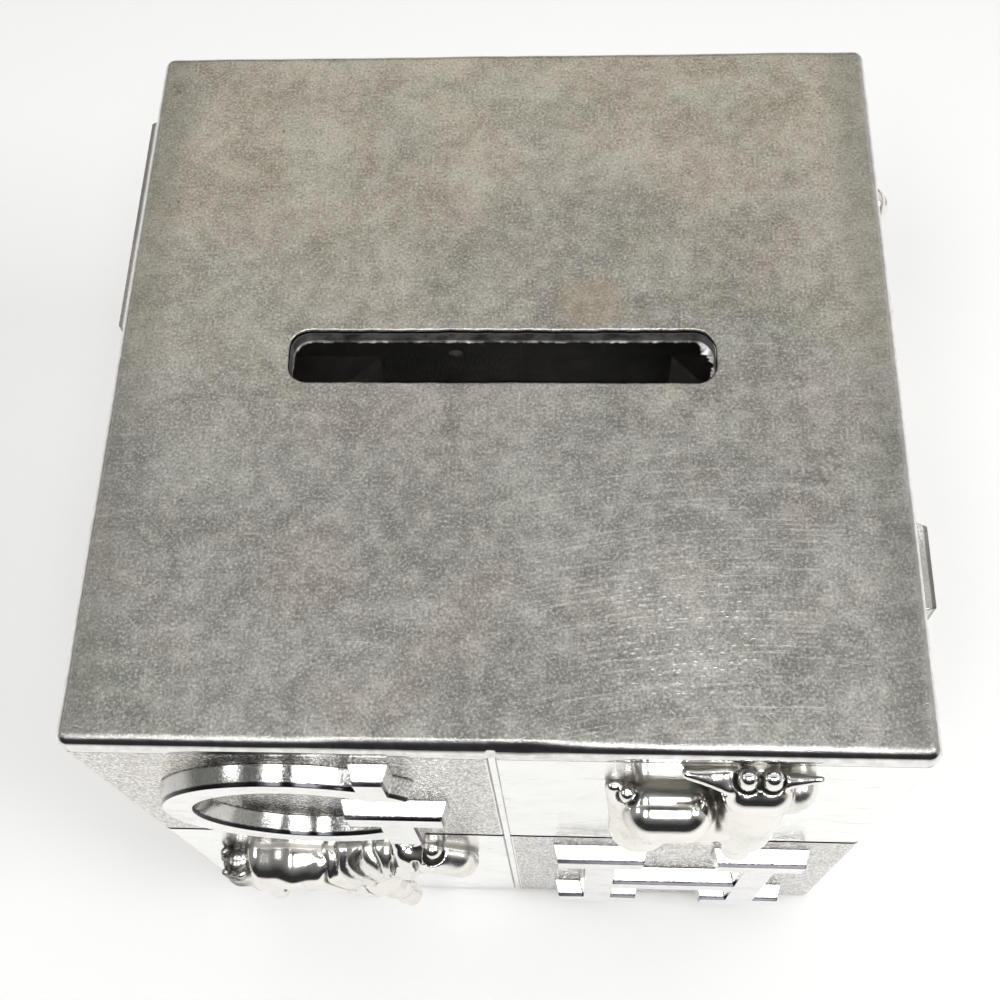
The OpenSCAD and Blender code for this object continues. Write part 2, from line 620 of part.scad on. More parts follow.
module base_plate() {
    color(dull) difference() {
        translate([0, 0, base_z]) linear_extrude(base_t) square(inner_w - 2 * fit_gap, center = true);
        translate([0, 0, base_z - 1]) cylinder(r = hole_r, h = base_t + 2);
        four_corners() translate([screw_at, screw_at, base_z]) {
            translate([0, 0, -1]) cylinder(d = screw_d + 2 * fit_gap, h = base_t + 2);
            translate([0, 0, -eps]) cylinder(d1 = head_d + 2 * fit_gap, d2 = screw_d + 2 * fit_gap,
                h = (head_d - screw_d) / 2);
        }
    }
}

module corner_lugs() {
    color(silver) four_corners() difference() {
        translate([inner_w / 2, inner_w / 2, lug_z]) linear_extrude(lug_h)
            polygon([[0, 0], [-lug_leg, 0], [0, -lug_leg]]);
        translate([screw_at, screw_at, lug_z - 1]) cylinder(d = screw_d + 2 * peg_gap, h = screw_l + 1.5);
    }
}

module base_screws() {
    head_h = (head_d - screw_d) / 2;
    color(polished) four_corners() translate([screw_at, screw_at, base_z]) difference() {
        union() {
            cylinder(d1 = head_d, d2 = screw_d, h = head_h);
            cylinder(d = screw_d, h = base_t + screw_l);
        }
        translate([-head_d, -0.3, -1]) cube([2 * head_d, 0.6, 1 + head_h / 2]);
    }
}

module stopper() {
    boss_top = pull_depth - flange_t + floor_t;
    color(dark) translate([0, 0, base_z]) {
        difference() {
            union() {
                difference() {
                    union() {
                        translate([0, 0, -flange_t]) cylinder(r = hole_r + flange_lip, h = flange_t);
                        cylinder(r = plug_r, h = plug_h - taper);
                        translate([0, 0, plug_h - taper]) cylinder(r1 = plug_r, r2 = plug_r - taper, h = taper);
                    }
                    translate([0, 0, floor_t]) cylinder(r = plug_r - plug_wall, h = plug_h);
                }
                cylinder(r = pull_r + floor_t, h = boss_top);
            }
            translate([0, 0, -flange_t - 1]) cylinder(r = pull_r, h = pull_depth + 1);
        }
        intersection() {
            translate([-pull_bar / 2, -2 * pull_r, -flange_t]) cube([pull_bar, 4 * pull_r, pull_bar_t]);
            cylinder(r = pull_r + floor_t / 2, h = 4 * pull_depth, center = true);
        }
    }
}

module feet() {
    color(felt) four_corners() translate([foot_at, foot_at, 0]) cylinder(d = foot_d, h = base_z);
}

top_plate();
front_panel();
right_panel();
back_panel();
left_panel();
letter_a();
letter_b();
letter_c();
letter_d();
letter_e();
letter_f();
letter_g();
letter_h();
alligator();
bear();
cat();
duck();
elephant();
fish();
giraffe();
horse();
base_plate();
corner_lugs();
base_screws();
stopper();
feet();
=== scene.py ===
import math

import bmesh
import bpy
import numpy as np
from mathutils import Matrix, Vector


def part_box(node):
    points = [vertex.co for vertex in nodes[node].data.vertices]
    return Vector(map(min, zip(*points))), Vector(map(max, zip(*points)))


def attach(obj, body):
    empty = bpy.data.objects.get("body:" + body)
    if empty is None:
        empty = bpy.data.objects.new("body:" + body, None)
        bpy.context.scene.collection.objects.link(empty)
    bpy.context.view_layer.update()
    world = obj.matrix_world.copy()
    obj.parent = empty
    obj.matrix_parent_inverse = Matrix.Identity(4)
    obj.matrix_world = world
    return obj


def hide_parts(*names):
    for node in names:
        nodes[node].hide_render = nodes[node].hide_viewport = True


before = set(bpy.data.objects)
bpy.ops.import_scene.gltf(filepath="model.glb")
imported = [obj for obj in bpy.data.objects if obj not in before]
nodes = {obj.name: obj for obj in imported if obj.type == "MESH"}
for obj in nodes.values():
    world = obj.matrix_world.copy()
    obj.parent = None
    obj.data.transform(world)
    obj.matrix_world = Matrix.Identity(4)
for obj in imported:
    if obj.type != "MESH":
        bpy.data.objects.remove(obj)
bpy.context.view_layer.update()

# Sizes are in millimetres in this script, and become metres where a mesh or a lamp is made
block = {
    "half": 38,
    "stand": 0.6,
    "quarter": 19,
    "seam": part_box("front_panel")[1].z * 1000,
    "top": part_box("top_plate")[1].z * 1000,
    "coarse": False,
}


# Shader wiring: a tap is one output of a node, and arithmetic on taps adds nodes
class Tap:
    def __init__(self, tree, socket=None):
        self.tree = tree
        self.socket = socket

    def node(self, kind, settings=None, inputs=None, output=0):
        made = self.tree.nodes.new(kind)
        for name, value in (settings or {}).items():
            setattr(made, name, value)
        for key, value in (inputs or {}).items():
            if isinstance(value, Tap):
                self.tree.links.new(value.socket, made.inputs[key])
            else:
                made.inputs[key].default_value = value
        return Tap(self.tree, made.outputs[output] if made.outputs else None)

    def math(self, operation, *values):
        return self.node("ShaderNodeMath", {"operation": operation}, dict(enumerate(values)))

    def __add__(self, other):
        return self.math("ADD", self, other)

    def __radd__(self, other):
        return self.math("ADD", other, self)

    def __sub__(self, other):
        return self.math("SUBTRACT", self, other)

    def __rsub__(self, other):
        return self.math("SUBTRACT", other, self)

    def __mul__(self, other):
        return self.math("MULTIPLY", self, other)

    def __rmul__(self, other):
        return self.math("MULTIPLY", other, self)

    def __neg__(self):
        return self.math("MULTIPLY", self, -1)

    def __abs__(self):
        return self.math("ABSOLUTE", self)


# 0 below low, 1 above high, and smooth between; low may be the larger number
def rise(value, low, high):
    if low > high:
        return 1 - rise(value, high, low)
    return value.node("ShaderNodeMapRange", {"interpolation_type": "SMOOTHSTEP"},
                      {"Value": value, "From Min": low, "From Max": high})


def mixed(factor, first, second):
    first, second = [(*shade, 1) if isinstance(shade, tuple) else shade for shade in (first, second)]
    return factor.node("ShaderNodeMix", {"data_type": "RGBA"}, {0: factor, 6: first, 7: second}, 2)


# Lays shades over a colour, each by its share where its value passes from low to high
def layered(colour, *layers):
    for value, low, high, share, shade in layers:
        colour = mixed(rise(value, low, high) * share, colour, shade)
    return colour


def most(first, *others):
    for other in others:
        first = first.math("MAXIMUM", first, other)
    return first


def vector(tap, operation, first, second, output=0):
    return tap.node("ShaderNodeVectorMath", {"operation": operation}, {0: first, 1: second}, output)


# How far each point lies along a direction
def distanceAlong(point, direction):
    return vector(point, "DOT_PRODUCT", point, direction, 1)


# Each seed looks at another part of a pattern
def moved(point, seed, step):
    return vector(point, "ADD", point, [seed * part for part in step]) if seed else point


def noise(point, size, detail=2, rough=0.5, twist=0, seed=0):
    inputs = {"Vector": moved(point, seed, (31.7, 17.3, 11.9)), "Scale": 1 / size, "Detail": detail,
              "Roughness": rough, "Distortion": twist}
    return point.node("ShaderNodeTexNoise", {"noise_dimensions": "3D"}, inputs)


def cells(point, size, flat=False, seed=0):
    inputs = {"Vector": moved(point, seed, (23.9, 19.1, 7.3)), "Scale": 1 / size}
    kind = {"voronoi_dimensions": "2D" if flat else "3D"}
    return point.node("ShaderNodeTexVoronoi", kind, inputs, "Distance")


def stretched(point, scale, turn=(0, 0, 0)):
    return point.node("ShaderNodeMapping", {"vector_type": "TEXTURE"},
                      {"Vector": point, "Rotation": turn, "Scale": scale})


# Straight fine scratches: cells drawn out along one direction, and only their middles kept
def scratches(point, angle, long, wide, keep, seed):
    drawn = stretched(point, (long, wide, 1), (0, 0, math.radians(angle)))
    return rise(cells(drawn, 1, True, seed), keep, keep * 0.35)


# A soft round patch about a place, with a ragged edge
def patch(point, place, reach, ragged):
    gap = vector(point, "DISTANCE", point, place, 1)
    return rise(gap + (ragged - 0.5) * (reach * 1.6), reach, reach * 0.35)


def material(name, metal, rough):
    made = bpy.data.materials.new(name)
    made.use_nodes = True
    made.node_tree.nodes.clear()
    start = Tap(made.node_tree)
    skin = start.node("ShaderNodeBsdfPrincipled", None, {"Metallic": metal, "Roughness": rough})
    start.node("ShaderNodeOutputMaterial", None, {"Surface": skin})
    place = start.node("ShaderNodeTexCoord", None, None, "Object")
    point = vector(start, "MULTIPLY", place, (1000, 1000, 1000))
    return made, skin.socket.node, point


# Joins varying values to the shader, with a bump of the given depth in millimetres
def finishWith(skin, point, colour, rough, height, depth, metal=None):
    bump = point.node("ShaderNodeBump", None, {"Height": height, "Distance": depth / 1000, "Strength": 1})
    for name, value in (("Base Color", colour), ("Roughness", rough), ("Metallic", metal), ("Normal", bump)):
        if value:
            point.tree.links.new(value.socket, skin.inputs[name])


def axes(point):
    outputs = point.node("ShaderNodeSeparateXYZ", None, {0: point}).socket.node.outputs
    return [Tap(point.tree, outputs[i]) for i in range(3)]


def addPiece(name, points, faces, body, skin, replaced):
    mesh = bpy.data.meshes.new(name)
    mesh.from_pydata((np.asarray(points, float) / 1000).tolist(), [], faces)
    mesh.validate()
    mesh.update()
    made = bpy.data.objects.new(name, mesh)
    bpy.context.scene.collection.objects.link(made)
    mesh.materials.append(skin)
    mesh.polygons.foreach_set("use_smooth", [True] * len(mesh.polygons))
    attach(made, body)
    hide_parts(replaced)
    return made


def dress(node, skin):
    nodes[node].data.materials.clear()
    nodes[node].data.materials.append(skin)


# Turned about the upright axis by a number of quarters
def turned(x, y, quarters):
    turn = math.radians(90 * quarters)
    return x * math.cos(turn) - y * math.sin(turn), x * math.sin(turn) + y * math.cos(turn)


# From a side's frame (right, up, out, about the middle of a side) to the row frame
def fromSide(points, side):
    across, up, out = points.T
    return np.stack([*turned(across, -block["half"] - out, side), block["stand"] + block["half"] + up], 1)


# Smooth one-dimensional noise round a closed loop, from a few sines of fixed phases
def loopNoise(count, waves, seed):
    chance = np.random.default_rng(seed)
    around = np.linspace(0, 2 * math.pi, count, endpoint=False)
    total = np.zeros(count)
    for wave in waves:
        total += np.sin(around * wave + chance.uniform(0, 2 * math.pi)) * chance.uniform(0.6, 1)
    return total / math.sqrt(len(waves))


# Joins loops of equal length into a band, its points numbered from start
def rings(loops, start=0):
    count = len(loops[0])
    faces = []
    for row in range(start, start + (len(loops) - 1) * count, count):
        for i in range(count):
            j = (i + 1) % count
            faces.append((row + i, row + j, row + count + j, row + count + i))
    return np.concatenate(loops), faces


# Top plate: the arris and the slot are lofted rings, and flat faces fill in between
plate = {
    "arris": 1.2,
    "corner": 1.2,
    # Points along an edge: their spacing, and places close to its middle for the notch
    "spacing": 0.8,
    "fine": (0.1, 0.2, 0.3, 0.4, 0.45, 0.5, 0.6),
    # The notch over each upright groove: half its width, its depth and its slope
    "notch": (0.45, 0.2, 0.15),
    # The front edge is worn flatter from x to x by a share, and knocked about x with a reach and a share
    "worn": (-16, 6, 0.35),
    "knock": (2.6, 4.5, 0.2),
    "waviness": 0.035,
    # The rim below: from and to these distances off the middle, and this deep
    "rim": (33.9, 35.5, 2),
    # Half length, half width, corner radius, and how far it sits behind the middle
    "slot": (20.7, 2.8, 2, 0.3),
    "slotSpacing": 0.13,
    "lip": 0.35,
    "wobble": 0.05,
    "thick": 2.4,
    # Casting web along the slot's lower edge: its reach, what the right end adds, and its section,
    # as shares of the reach at heights over the plate's lower face
    "flash": 0.16,
    "web": 1,
    "section": ((0.1, 0.38), (0.75, 0.3), (1, 0.22), (0.9, 0.12), (0.3, 0.03)),
}


# One turn round the plate's edge, starting along the front
def squareLoop(inset, level):
    half, corner = block["half"], plate["corner"]
    fine = np.array(plate["fine"])
    run = np.arange(corner - half, -0.7, plate["spacing"])
    places = np.concatenate([run, -fine[::-1], [0], fine, -run[::-1]])
    wideNotch, deepNotch, slope = plate["notch"]
    notch = deepNotch * np.clip((wideNotch - abs(places)) / slope, 0, 1)
    bend = np.radians(np.linspace(-90, 0, 9)[1:-1])
    radius = max(corner - inset, 0)
    middle = half - max(corner, inset)
    x = np.concatenate([np.clip(places, inset - half, half - inset), middle + radius * np.cos(bend)])
    y = np.concatenate([np.maximum(inset, notch) - half, radius * np.sin(bend) - middle])
    heights = np.full(len(x), level)
    return np.concatenate([np.column_stack([*turned(x, y, side), heights]) for side in range(4)])


# One turn round the slot, moved outward by one number or by one for each point
def slotLoop(outward, level):
    long, wide, radius, back = plate["slot"]
    middleX, middleY, step = long - radius, wide - radius, plate["slotSpacing"]
    bend = np.radians(np.linspace(0, 90, 22))
    upright = np.linspace(-middleY, middleY, int(2 * middleY / step) + 2)[1:-1]
    lengthwise = np.linspace(middleX, -middleX, int(2 * middleX / step) + 2)[1:-1]

    def corner(centre, start):
        return [(centre + radius * math.cos(a), middleY + radius * math.sin(a), math.cos(a), math.sin(a))
                for a in bend + start]

    around = [(long, y, 1, 0) for y in upright] + corner(middleX, 0)
    around += [(x, wide, 0, 1) for x in lengthwise] + corner(-middleX, math.pi / 2)
    around = np.concatenate([around, -np.array(around)])
    flat = around[:, :2] + around[:, 2:] * np.broadcast_to(outward, len(around))[:, None]
    return np.column_stack([flat[:, 0], flat[:, 1] + back, np.full(len(flat), level)])


# The rim below, the seam and the arris, which wavers a little and is worn in places along the front
def plateEdge():
    top, seam, arris, half = block["top"], block["seam"], plate["arris"], block["half"]
    rimIn, rimOut, rimDeep = plate["rim"]
    loops = [squareLoop(inset, level) for inset, level in (
        (half - rimIn, seam), (half - rimIn, seam - rimDeep), (half - rimOut, seam - rimDeep),
        (half - rimOut, seam), (0.1, seam), (0, seam + 0.1))]
    wavy = loopNoise(len(loops[0]), (9, 17, 26, 41), 3)
    fromX, toX, wornShare = plate["worn"]
    placeX, reachX, knockShare = plate["knock"]
    for share in np.linspace(0, 1, 10):
        angle = share * math.pi / 2
        inset = arris * (1 - math.cos(angle))
        level = top - arris * (1 - math.sin(angle))
        ring = squareLoop(inset, level)
        ring[:, 2] -= plate["waviness"] * (1 + wavy) * math.sin(2 * angle)
        x = ring[:, 0]
        worn = wornShare * np.clip((x - fromX + 3) / 6, 0, 1) * np.clip((toX + 3 - x) / 6, 0, 1)
        worn += knockShare * np.exp(-((x - placeX) / reachX) ** 2)
        worn *= ring[:, 1] < arris - half
        ring[:, 1] += worn * (arris * share - inset)
        ring[:, 2] += worn * (top - arris * (1 - share) - level)
        loops.append(ring)
    return loops + [squareLoop(arris + 0.12, top)]


# The slot's rounded lip, its wall, and the casting's ragged thin web, wider at the right-hand end
def slotWall():
    top, lip, bottom = block["top"], plate["lip"], block["top"] - plate["thick"]
    long, wide, radius, back = plate["slot"]
    loops = [slotLoop(lip + 0.15, top)]
    count = len(loops[0])
    wobble = loopNoise(count, (5, 12, 23, 47), 5) * plate["wobble"]
    for angle in np.radians(np.linspace(0, 90, 7)):
        outward = lip * (1 - math.sin(angle)) + wobble * math.sin(angle)
        loops.append(slotLoop(outward, top - lip * (1 - math.cos(angle))))
    ragged = loopNoise(count, (31, 57, 83, 131, 197), 8) * 0.5 + 0.5 * loopNoise(count, (11, 19), 9)
    flash = plate["flash"] * np.clip(0.75 + 0.7 * ragged, 0.05, 2.2)
    x, y, z = slotLoop(0, 0).T
    flash += plate["web"] * np.clip((x - long + 1.6) / 1.4, 0, 1) * np.clip(0.55 + 0.55 * ragged, 0.1, 1)
    flash *= 0.7 + 0.5 * np.clip((y - back) / wide, 0, 1)
    loops.append(slotLoop(wobble * 0.6, bottom + 0.55))
    loops += [slotLoop(-share * flash, bottom + height) for share, height in plate["section"]]
    for ring in loops[-5:-1]:
        ring[:, 2] += loopNoise(count, (23, 61, 97), 12) * plate["wobble"]
    return loops + [slotLoop(0, bottom)]


def buildTop(skin):
    points, faces = rings(plateEdge())
    morePoints, moreFaces = rings(slotWall(), len(points))
    every = np.concatenate([points, morePoints])
    made = addPiece("topPlate", every, faces + moreFaces, "bank", skin, "top_plate")
    mesh = bmesh.new()
    mesh.from_mesh(made.data)
    bmesh.ops.remove_doubles(mesh, verts=mesh.verts, dist=2e-6)
    bmesh.ops.dissolve_degenerate(mesh, edges=mesh.edges, dist=2e-6)
    middle = (block["top"] + block["seam"]) / 2000
    for above in (True, False):
        rim = [edge for edge in mesh.edges if edge.is_boundary and (edge.verts[0].co.z > middle) == above]
        bmesh.ops.triangle_fill(mesh, edges=rim, use_beauty=True)
    print("top plate still has", sum(edge.is_boundary for edge in mesh.edges), "open edges")
    bmesh.ops.recalc_face_normals(mesh, faces=mesh.faces)
    for face in mesh.faces:
        face.smooth = True
    mesh.to_mesh(made.data)
    mesh.free()
    made.modifiers.new("weighted", "WEIGHTED_NORMAL").weight = 100

# The plate's metal: a cool and a warm pair of greys, places of dark stains with their reach, the directions
# of the scratches as angle, length, width, how much is kept and a seed, and the place the streaks turn about
tarnish = {
    "cool": ((0.24, 0.24, 0.226), (0.385, 0.383, 0.362)),
    "warm": ((0.36, 0.322, 0.255), (0.55, 0.512, 0.425)),
    "streak": (0.86, 0.855, 0.84),
    "stains": ((-36, 33.3, 1.2), (-19, 37.4, 1.6), (30.6, -10.9, 2.6), (28, -12.6, 2),
               (-4.6, -7.8, 1.3), (19, -4, 2.2), (17.4, -5.6, 1.5), (27.9, -2.4, 1.8),
               (-31, -35.2, 2.4), (13.8, 6.4, 1.2), (2.4, -28, 1.6)),
    "scratches": ((-9, 60, 0.9, 0.05, 1), (-32, 60, 1, 0.045, 2), (12, 50, 1.1, 0.045, 3),
                  (-74, 40, 1.2, 0.04, 4)),
    "swing": (24, -112, 0),
}


# Dull grey, warmer at the far side and cooler near, with stains, specks and fine scratches
def tarnished():
    made, skin, point = material("tarnishedSilver", 1, 0.4)
    x, y, z = axes(point)
    top, seam = block["top"], block["seam"]
    cloud = noise(point, 22, 4, 0.6, 0.4, 1)
    blot = noise(point, 7, 5, 0.62, 0.7, 2)
    mottle = noise(point, 1.6, 4, 0.6, 0, 3)
    grain = noise(point, 0.27, 3, 0.65, 0, 4)
    tint = noise(point, 9, 2, 0.5, 0, 13)
    cool, warm = [mixed(rise(blot, 0.3, 0.72), *tarnish[name]) for name in ("cool", "warm")]
    colour = mixed(rise(y * 0.022 + (cloud - 0.5) * 1.5, -0.45, 0.75), cool, warm)
    colour = layered(
        colour, (tint, 0.55, 0.72, 0.25, (0.47, 0.36, 0.33)), (tint, 0.45, 0.28, 0.25, (0.33, 0.38, 0.31)),
        (cloud, 0.5, 0.3, 0.3, (0.20, 0.19, 0.17)), (mottle, 0.42, 0.72, 0.4, (0.62, 0.60, 0.55)),
        (mottle, 0.46, 0.28, 0.4, (0.24, 0.235, 0.21)), (grain, 0.47, 0.74, 0.6, (0.84, 0.82, 0.77)),
        (grain, 0.5, 0.27, 0.6, (0.13, 0.125, 0.115)))
    colour = mixed(patch(point, (9, 6.4, top), 4, blot) * 0.25, colour, (0.50, 0.36, 0.22))
    # Painted shade: a darker band along the left and right edges
    colour = layered(colour, (abs(x) + (blot - 0.5) * 5, 32.5, 36, 0.35, (0.17, 0.175, 0.15)))
    ragged = noise(point, 1.3, 4, 0.65, 0.6, 5)
    dark = most(*[patch(point, (atX, atY, top), reach, ragged) for atX, atY, reach in tarnish["stains"]])
    dark = dark * rise(noise(point, 0.5, 3, 0.6, 0.5, 6), 0.38, 0.62)
    specks = rise(cells(point, 3.4, seed=2), 0.075, 0.04) * rise(cloud, 0.42, 0.6)
    colour = mixed(dark * 0.6, colour, (0.14, 0.135, 0.13))
    colour = mixed(specks * 0.7, colour, (0.12, 0.115, 0.11))
    # Scratches bend a little and break off
    bend = vector(point, "MULTIPLY", noise(point, 16, 1, 0.5, 0, 7), (5, 5, 0))
    bent = vector(point, "ADD", point, bend)
    broken = rise(noise(point, 1.2, 3, 0.6, 0, 8), 0.42, 0.66)
    lines = most(*[scratches(bent, *line) * broken for line in tarnish["scratches"]])
    hair = stretched(bent, (14, 0.35, 1), (0, 0, math.radians(12)))
    brushed = (noise(hair, 1, 3, 0.55, 0, 9) - 0.5) * 0.5
    # A fan of soft broken streaks at the right, swept round a place far in front of the block
    awayX, awayY, awayZ = axes(vector(point, "SUBTRACT", point, tarnish["swing"]))
    away = point.math("SQRT", awayX * awayX + awayY * awayY)
    polar = point.node("ShaderNodeCombineXYZ", None, {0: point.math("ARCTAN2", awayY, awayX) * 86, 1: away})
    fan = noise(stretched(polar, (11, 0.30, 1)), 1, 3, 0.55, 0, 11)
    arcs = rise(fan, 0.52, 0.66) * (0.3 + 0.7 * broken)
    arcs = arcs * rise(y, 0, -20) * rise(x, -4, 10) * rise(x, 35, 26)
    # Bright specks along the fan are painted glints
    paintedGlints = rise(cells(stretched(polar, (1.1, 0.5, 1)), 1, True, 6), 0.26, 0.12)
    nearby = rise(vector(point, "DISTANCE", point, (17, -27, top), 1), 13, 4)
    paintedGlints = paintedGlints * rise(fan, 0.44, 0.58) * nearby
    lines = most(lines * 0.6, arcs * 0.65, paintedGlints)
    # Fine dark cracks near the slot's right end and at the left
    cracks = scratches(bent, 70, 14, 1.4, 0.06, 12) * broken
    cracks = cracks * most(patch(point, (17, -4, top), 7, blot), rise(blot, 0.58, 0.7) * 0.7)
    colour = mixed(cracks * 0.75, colour, (0.10, 0.098, 0.09))
    # Scratches and streaks are pale, and so are the painted glints among them
    colour = mixed(lines * 0.7, colour, tarnish["streak"])
    colour = layered(colour, (brushed, 0.02, 0.16, 0.22, (0.62, 0.615, 0.60)))
    # The rounded edges are rubbed bright
    edge = rise(z, top - 0.03, top - 0.3)
    rubbed = noise(point, 1.1, 3, 0.6, 0.3, 10)
    colour = mixed(edge, colour, mixed(rise(rubbed, 0.3, 0.7), (0.66, 0.65, 0.63), tarnish["streak"]))
    # The slot's wall is rough and dark, with a paler web, and so is the plate's inside
    wall = rise(z, top - 0.45, top - 0.75) * rise(most(abs(x), abs(y)), 30, 29)
    flash = rise(z, seam + 0.5, seam + 0.42)
    cast = mixed(rise(mottle, 0.3, 0.7), (0.05, 0.05, 0.052), (0.21, 0.205, 0.20))
    cast = mixed(flash, cast, mixed(rise(mottle, 0.35, 0.6), (0.4, 0.39, 0.37), (0.9, 0.89, 0.87)))
    colour = mixed(wall, colour, cast)
    colour = mixed(rise(z, seam - 0.02, seam - 0.06), colour, (0.20, 0.19, 0.18))
    rough = 0.40 + (mottle - 0.5) * 0.16 + (blot - 0.5) * 0.16 - lines * 0.10 - edge * 0.29
    rough = rough * (1 - wall) + wall * 0.5
    height = (grain * 0.7 + mottle * 0.5 - lines * 0.6 + brushed * 0.5) * (1 - edge * (1 - wall) * 0.9)
    finishWith(skin, point, colour, rough, height, 0.02, 1 - wall * (1 - flash) * 0.75)
    return made


# Sides: two opposite quarters are sand-textured and two are polished, with grooves between
right = [(1, 0, 0), (0, 1, 0), (-1, 0, 0), (0, -1, 0)]
outward = [(0, -1, 0), (1, 0, 0), (0, 1, 0), (-1, 0, 0)]


def plated(name, side):
    made, skin, point = material(name, 1, 0.1)
    u = distanceAlong(point, right[side])
    v = axes(point)[2] - (block["stand"] + block["half"])
    seed = side * 7
    sand = rise(-(u * v), -2, 2) * rise(abs(u), 0.5, 0.62) * rise(abs(v), 0.5, 0.62)
    plane = point.node("ShaderNodeCombineXYZ", None, {0: u, 1: v})
    grit = noise(stretched(point, (1, 1, 1.9)), 0.27, 2, 0.7, 0, seed)
    pits = cells(plane, 0.42, True, seed)
    blot = noise(point, 6, 4, 0.6, 0.6, seed + 1)
    fine = noise(point, 1.1, 3, 0.6, 0, seed + 2)
    streak = noise(stretched(point, (1, 1, 3.2)), 0.5, 2, 0.6, 0.3, seed + 3)
    smear = noise(stretched(point, (6, 6, 1.4)), 1, 3, 0.6, 0.3, seed + 8)
    grey = most(rise(fine, 0.6, 0.8) * rise(blot, 0.45, 0.7), rise(smear, 0.6, 0.7) * 0.8)
    polish = mixed(rise(blot, 0.45, 0.8) * 0.5, (0.97, 0.968, 0.95), (0.84, 0.832, 0.81))
    polish = mixed(grey * 0.45, polish, (0.60, 0.59, 0.57))
    sandy = mixed(rise(grit, 0.36, 0.64), (0.33, 0.313, 0.28), (0.93, 0.92, 0.885))
    sandy = mixed(rise(streak, 0.55, 0.7) * rise(blot, 0.3, 0.6) * 0.8, sandy, (0.25, 0.238, 0.22))
    sandy = layered(sandy, (blot, 0.5, 0.75, 0.45, (0.56, 0.50, 0.42)))
    colour = mixed(sand, polish, sandy)
    nearer = u.math("MINIMUM", abs(u), abs(v))
    groove = rise(nearer, 0.26, 0.32) * rise(nearer, 0.48, 0.42)
    colour = mixed(groove * 0.8, colour, (0.16, 0.155, 0.15))
    inside = rise(distanceAlong(point, outward[side]), block["half"] - 0.8, block["half"] - 1.1)
    raw = mixed(noise(point, 3, 5, 0.65, 0.5, seed + 4), (0.16, 0.155, 0.15), (0.36, 0.35, 0.335))
    colour = mixed(inside, colour, raw)
    lines = scratches(plane, 12, 60, 0.8, 0.05, seed + 5)
    mirror = 0.17 + rise(blot, 0.4, 0.8) * 0.12 + grey * 0.16 + lines * 0.08
    rough = mirror * (1 - sand) + sand * (0.22 + (grit - 0.5) * 0.24)
    rough = rough * (1 - inside) + inside * 0.55
    wave = noise(point, 9, 1, 0.5, 0, seed + 6)
    finishWith(skin, point, colour, rough, sand * (grit + pits * 0.7) * 0.8 + wave * 1.6, 0.05)
    return made


# Letters: the CAD's own letters with softened edges, frosted by the casting and rubbed on their faces
letters = {"bevel": 0.38, "segments": 4, "angle": 28}


def frosted(name, side):
    made, skin, point = material(name, 1, 0.3)
    out = distanceAlong(point, outward[side]) - block["half"]
    seed = 40 + side
    grit = noise(point, 0.26, 3, 0.7, 0, seed)
    blot = noise(point, 2.6, 3, 0.6, 0.5, seed + 1)
    # The first letter of a pair has a smooth ring whose darker colour is a painted dark reflection, the rest
    # is frosted
    smooth = rise(distanceAlong(point, right[side]), -15.5, -18)
    face = rise(out, 1.9, 1.97)
    colour = mixed(rise(grit, 0.36, 0.64), (0.52, 0.515, 0.495), (0.97, 0.965, 0.95))
    colour = mixed(rise(blot, 0.55, 0.8) * (1 - face) * 0.3, colour, (0.52, 0.51, 0.50))
    colour = mixed(face * 0.8, colour, mixed(rise(blot, 0.4, 0.75), (0.96, 0.955, 0.94), (0.80, 0.79, 0.77)))
    # Painted shade: the walls darken towards their foot at the panel
    colour = layered(colour, (out, 0.35, 0.02, 0.6, (0.24, 0.235, 0.25)))
    colour = mixed(smooth * (1 - face) * 0.75, colour, mixed(blot, (0.30, 0.30, 0.28), (0.62, 0.615, 0.59)))
    speckle = rise(out * 0.22 + (grit - 0.5) * 1.6, 0.46, 0.74) * (1 - face) * (1 - smooth)
    colour = mixed(speckle * 0.75, colour, (0.10, 0.098, 0.105))
    # A painted dark reflection line runs below each face, fainter on the sides that other lamps light
    paintedDarkLine = rise(out + (grit - 0.5) * 0.35, 1.46, 1.62) * rise(out, 1.97, 1.90)
    colour = mixed(paintedDarkLine * (0.96 if side == 0 else 0.6), colour, (0.014, 0.012, 0.018))
    rubbed = rise(out, 1.45, 1.75)
    rough = (0.24 + (grit - 0.5) * 0.24 - smooth * 0.12) * (1 - rubbed)
    rough = rough + rubbed * (0.10 + rise(blot, 0.4, 0.8) * 0.12)
    finishWith(skin, point, colour, rough, grit * (1 - rubbed * 0.9) * (1.4 - smooth * 1.2), 0.03)
    return made


def buildLetter(node, skin):
    made = nodes[node].copy()
    made.data = nodes[node].data.copy()
    made.name = node.replace("_", "-")
    for key in list(made.keys()):
        del made[key]
    made.parent = None
    bpy.context.scene.collection.objects.link(made)
    mesh = bmesh.new()
    mesh.from_mesh(made.data)
    bmesh.ops.remove_doubles(mesh, verts=mesh.verts, dist=2e-6)
    bmesh.ops.dissolve_limit(mesh, angle_limit=math.radians(1), verts=mesh.verts, edges=mesh.edges)
    for layer in list(mesh.loops.layers.uv):
        mesh.loops.layers.uv.remove(layer)
    mesh.to_mesh(made.data)
    mesh.free()
    if made.data.has_custom_normals:
        made.data.attributes.remove(made.data.attributes["custom_normal"])
    made.data.materials.clear()
    made.data.materials.append(skin)
    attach(made, "bank")
    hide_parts(node)
    bevel = made.modifiers.new("bevel", "BEVEL")
    bevel.width = letters["bevel"] / 1000
    bevel.segments = letters["segments"]
    bevel.limit_method = "ANGLE"
    bevel.angle_limit = math.radians(letters["angle"])
    made.modifiers.new("weighted", "WEIGHTED_NORMAL").keep_sharp = True
    made.data.polygons.foreach_set("use_smooth", [True] * len(made.data.polygons))


